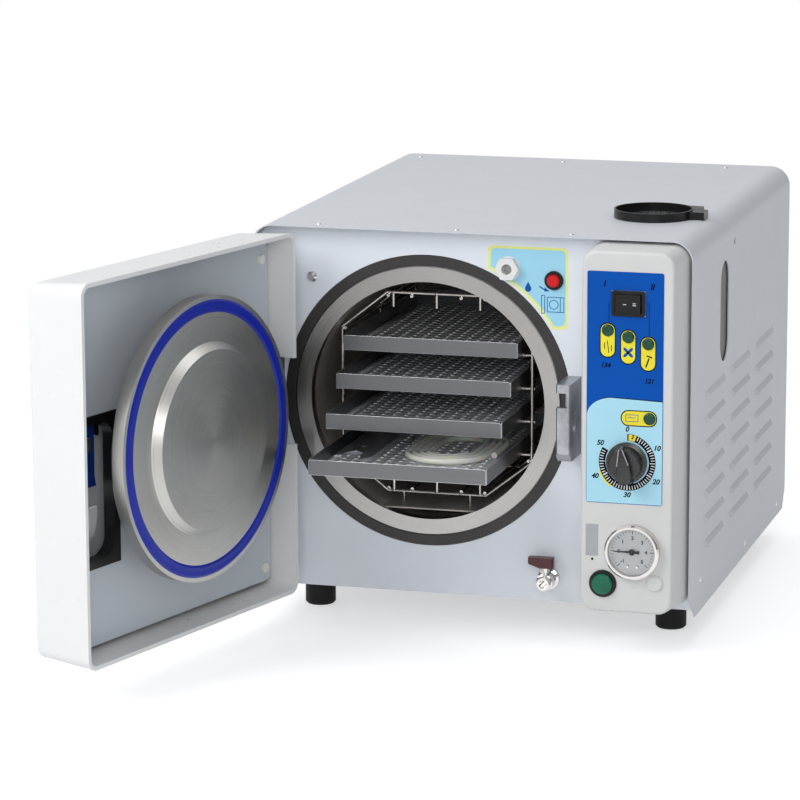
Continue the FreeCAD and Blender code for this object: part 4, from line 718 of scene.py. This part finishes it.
def sector(inner, outer, start, end, steps=64, about=TIMER):
    arc = [math.radians(90 - start - (end - start) * k / steps) for k in range(steps + 1)]
    return ([(about[0] + outer * math.cos(t), about[1] + outer * math.sin(t)) for t in arc]
            + [(about[0] + inner * math.cos(t), about[1] + inner * math.sin(t)) for t in arc[::-1]])


flat("timer_band", [sector(RING_IN, RING_OUT, 0, TIMER_SPREAD)], OVER - 0.12, 0.06, M["ink"], "cabinet")
flat("timer_cell", [sector(RING_IN + 0.3, RING_OUT - 0.3, 3, 19, 8)], OVER - 0.18, 0.05, M["yellow"], "cabinet")
flat("timer_arc", [sector(RING_OUT, RING_OUT + 1.5, 212, 252, 20)], OVER - 0.12, 0.06, M["yellow"], "cabinet")
for minute in range(4, 50):
    angle = TIMER_SPREAD * minute / 50
    wide = 0.9 if minute % 10 else 1.5
    tick = sector(RING_IN + 0.9 + (minute % 5 > 0), RING_OUT - 0.7, angle - wide, angle + wide, 2)
    flat("timer_tick_%02d" % minute, [tick], OVER - 0.18, 0.04, M["white_ink"], "cabinet")
write("timer_cell_number", "3", TIMER[0] + 4.7, TIMER[1] + 23.9, 5.0, OVER - 0.23, M["ink"], "cabinet")
for text, dx, dz in (("0", -0.4, 31.2), ("10", 27.8, 14.6), ("20", 27.2, -17.2), ("30", -0.2, -31.0),
                     ("40", -30.6, -14.6), ("50", -25.8, 17.2)):
    write("timer_number_" + text, text, TIMER[0] + dx, TIMER[1] + dz, 6.6, OVER - 0.12, M["ink"], "cabinet")

# Timer knob grip and its pointer lines
KNOB_TOP = FACE - 15.0


def grip_build(work):
    turn = math.radians(8)
    outline = [(-6.5, -18.2), (6.5, -18.2), (7.4, -8), (6.6, 0), (1.6, 17.6), (-1.6, 17.6), (-6.6, 0), (-7.4, -8)]
    rings = []
    for y, shrink in ((KNOB_TOP + 4.5, 1.0), (KNOB_TOP - 4.6, 0.93), (KNOB_TOP - 5.4, 0.82)):
        rings.append([work.verts.new((TIMER[0] + shrink * (a * math.cos(turn) - b * math.sin(turn)), y,
                                      TIMER[1] + shrink * (a * math.sin(turn) + b * math.cos(turn))))
                      for a, b in outline])
    for one, two in zip(rings, rings[1:]):
        for k in range(len(outline)):
            after = (k + 1) % len(outline)
            work.faces.new((one[k], one[after], two[after], two[k]))
    work.faces.new(rings[-1])
    work.faces.new(rings[0][::-1])


add_mesh("knob_grip", grip_build, M["knob"], "timer_dial", bevel=0.7)
for side in (-1, 1):
    turn = math.radians(8)
    line = [(side * 1.5, 16.2), (side * 5.6, 0.6)]
    line = [(TIMER[0] + a * math.cos(turn) - b * math.sin(turn), TIMER[1] + a * math.sin(turn) + b * math.cos(turn))
            for a, b in line]
    strokes("knob_line_%s" % ("left" if side < 0 else "right"), [line], 0.8, KNOB_TOP - 5.35, M["grey_label"],
            "timer_dial")

# Gauge dial: scale marks and numbers
DIAL = FACE - 3.05
for step in range(31):
    angle = math.radians(225 - 270 * step / 30)
    inner = 18.2 if step % 5 else 16.6
    ends = [(GAUGE[0] + r * math.cos(angle), GAUGE[1] + r * math.sin(angle)) for r in (inner, 20.4)]
    strokes("gauge_tick_%02d" % step, [ends], 0.30 if step % 5 else 0.6, DIAL, M["ink"], "cabinet")
for step, text in enumerate(("-1", "0", "1", "2", "3", "4", "5")):
    angle = math.radians(225 - 45 * step)
    write("gauge_number_" + text, text, GAUGE[0] + 13.0 * math.cos(angle), GAUGE[1] + 13.0 * math.sin(angle), 4.6,
          DIAL, M["ink"], "cabinet", shear=0)
for side in (-1, 1):
    lathe("gauge_screw_%s" % ("left" if side < 0 else "right"), [(0, 0.9), (1.2, 0.8), (1.6, 0.3), (1.6, 0)],
          (GAUGE[0] + side * 4.6, DIAL + 0.05, GAUGE[1] - 14.4), (0, -1, 0), M["chrome"], "cabinet", 20)
lathe("needle_cap", [(0, 1.4), (2.0, 1.1), (2.9, 0.3), (2.9, 0)],
      (GAUGE[0], FACE - 9.0 + 4.0, GAUGE[1]), (0, -1, 0), M["needle"], "needle", 28)

# Rocker marks
strokes("rocker_mark_one", [[(157.2, 338.8), (160.2, 338.8)]], 0.6, FACE - 3.75, M["white_ink"], "rocker")
strokes("rocker_mark_two", [[(166.2, 340.0), (169.4, 340.0)], [(166.2, 338.2), (169.4, 338.2)]], 0.6,
        FACE - 3.95, M["white_ink"], "rocker")

# Small grey label and the dot below it
flat("grey_label", [rounded_outline(122.6, 134.6, 99.2, 129.5, 0.6)], FACE, 0.15, M["grey_label"], "cabinet")
flat("label_dot", [circle_outline(129.0, 96.0, 1.2, 24)], FACE, 0.12, M["ink"], "cabinet")


# Screws in the cover and the panels
def screw(name, centre, axis, body, radius=3.0, material="chrome"):
    lathe(name, [(0, 0.5), (radius * 0.35, 0.5), (radius * 0.45, 1.2), (radius * 0.8, 1.0), (radius, 0.3),
                 (radius, -0.2)], centre, axis, M[material], body, 24)


for number, (x, y) in enumerate(((-151.0, -236.0), (-15.7, -236.0), (95.0, -236.0), (-24.0, 226.0), (-180.0, 226.0),
                                 (150.0, 226.0))):
    screw("cover_screw_%d" % number, (x, y, 392.3), (0, 0, 1), "cabinet", 2.4)
for number, (side, y, z) in enumerate(((1, 24.0, 42.0), (1, 200.0, 42.0), (1, -200.0, 60.0), (-1, 24.0, 42.0),
                                       (-1, 200.0, 42.0), (-1, -200.0, 60.0))):
    screw("side_screw_%d" % number, (side * 213.8, y, z), (side, 0, 0), "cabinet", 2.4)
for number, (x, z) in enumerate(((-195, 370), (195, 370), (-195, 60), (195, 60), (0, 370), (0, 60))):
    screw("rear_screw_%d" % number, (x, 236.1, z), (0, 1, 0), "cabinet", 2.8)

# Studio: pale floor that keeps the shadow, soft lamps, white background
def to_camera(n):
    """1 for rays of the camera, of gloss and of glass."""
    path = n.add("ShaderNodeLightPath")
    first = n.add("ShaderNodeMath", operation="MAXIMUM")
    n.join(path, "Is Camera Ray", first, 0)
    n.join(path, "Is Glossy Ray", first, 1)
    both = n.add("ShaderNodeMath", operation="MAXIMUM")
    n.join(first, "Value", both, 0)
    n.join(path, "Is Transmission Ray", both, 1)
    return both


def make_floor():
    n = Nodes("floor")
    place = n.place()
    fine = n.noise(place, 60.0)
    n.join(n.tint(fine, (0.82, 0.82, 0.82), (0.84, 0.84, 0.84)), "Color", n.shader, "Base Color")
    n.shader.inputs["Roughness"].default_value = 0.7
    n.shader.inputs["Specular IOR Level"].default_value = 0.1
    light = n.add("ShaderNodeEmission")
    light.inputs["Strength"].default_value = 0.52
    both = n.add("ShaderNodeAddShader")
    n.join(n.shader, "BSDF", both, 0)
    n.join(light, "Emission", both, 1)
    white = n.add("ShaderNodeEmission")
    white.inputs["Strength"].default_value = 1.0
    far = n.add("ShaderNodeVectorMath", operation="LENGTH")
    n.join(place, "Vector", far, 0)
    fade = n.add("ShaderNodeMapRange", interpolation_type="SMOOTHSTEP")
    for key, value in (("From Min", 0.55), ("From Max", 1.3), ("To Min", 0.0), ("To Max", 1.0)):
        fade.inputs[key].default_value = value
    n.join(far, "Value", fade, "Value")
    outer = n.add("ShaderNodeMixShader")
    n.join(fade, "Result", outer, "Fac")
    n.join(both, "Shader", outer, 1)
    n.join(white, "Emission", outer, 2)
    mix = n.add("ShaderNodeMixShader")
    n.join(to_camera(n), "Value", mix, "Fac")
    n.join(n.shader, "BSDF", mix, 1)
    n.join(outer, "Shader", mix, 2)
    n.join(mix, "Shader", n.out, "Surface")
    mesh = bpy.data.meshes.new("floor")
    size = 14.0
    mesh.from_pydata([(-size, -size, 0), (size, -size, 0), (size, size, 0), (-size, size, 0)], [], [(0, 1, 2, 3)])
    floor = bpy.data.objects.new("floor", mesh)
    bpy.context.scene.collection.objects.link(floor)
    mesh.materials.append(n.material)


make_floor()


def make_world():
    """White to the camera, and to gloss a soft studio that is brightest at the upper left."""
    world = bpy.data.worlds.new("studio")
    bpy.context.scene.world = world
    world.use_nodes = True
    tree = world.node_tree
    tree.nodes.clear()

    def add(kind, **settings):
        node = tree.nodes.new(kind)
        for key, value in settings.items():
            setattr(node, key, value)
        return node

    out = add("ShaderNodeOutputWorld")
    dim, soft, white = add("ShaderNodeBackground"), add("ShaderNodeBackground"), add("ShaderNodeBackground")
    dim.inputs["Color"].default_value = (0.92, 0.96, 1.0, 1)
    dim.inputs["Strength"].default_value = 0.42
    white.inputs["Color"].default_value = (1, 1, 1, 1)
    where = add("ShaderNodeTexCoord")
    lean = add("ShaderNodeVectorMath", operation="DOT_PRODUCT")
    lean.inputs[1].default_value = Vector((-0.45, 0.10, 0.89))
    tree.links.new(where.outputs["Generated"], lean.inputs[0])
    level = add("ShaderNodeMapRange")
    for key, value in (("From Min", -0.25), ("From Max", 0.85), ("To Min", 0.30), ("To Max", 1.1)):
        level.inputs[key].default_value = value
    tree.links.new(lean.outputs["Value"], level.inputs["Value"])
    tree.links.new(level.outputs["Result"], soft.inputs["Strength"])
    path = add("ShaderNodeLightPath")
    shine = add("ShaderNodeMixShader")
    tree.links.new(path.outputs["Is Glossy Ray"], shine.inputs["Fac"])
    tree.links.new(dim.outputs[0], shine.inputs[1])
    tree.links.new(soft.outputs[0], shine.inputs[2])
    seen = add("ShaderNodeMath", operation="MAXIMUM")
    tree.links.new(path.outputs["Is Camera Ray"], seen.inputs[0])
    tree.links.new(path.outputs["Is Transmission Ray"], seen.inputs[1])
    mix = add("ShaderNodeMixShader")
    tree.links.new(seen.outputs[0], mix.inputs["Fac"])
    tree.links.new(shine.outputs[0], mix.inputs[1])
    tree.links.new(white.outputs[0], mix.inputs[2])
    tree.links.new(mix.outputs[0], out.inputs["Surface"])


make_world()


def lamp(name, spot, target, size, power, color=(1, 1, 1)):
    data = bpy.data.lights.new(name, "AREA")
    data.shape = "RECTANGLE"
    data.size, data.size_y = size
    data.energy = power
    data.color = color
    thing = bpy.data.objects.new(name, data)
    thing.location = spot
    thing.rotation_euler = (Vector(target) - Vector(spot)).to_track_quat("-Z", "Y").to_euler()
    bpy.context.scene.collection.objects.link(thing)


lamp("key", (-1.7, -2.1, 2.1), (0.0, -0.2, 0.2), (1.6, 1.6), 44)
lamp("top", (0.1, 0.3, 3.0), (0.0, 0.0, 0.2), (2.4, 2.0), 20, (0.98, 0.99, 1.0))
lamp("front", (0.7, -3.4, 1.3), (0.0, -0.2, 0.2), (1.6, 1.2), 22)

view = bpy.context.scene.view_settings
view.view_transform = "Standard"
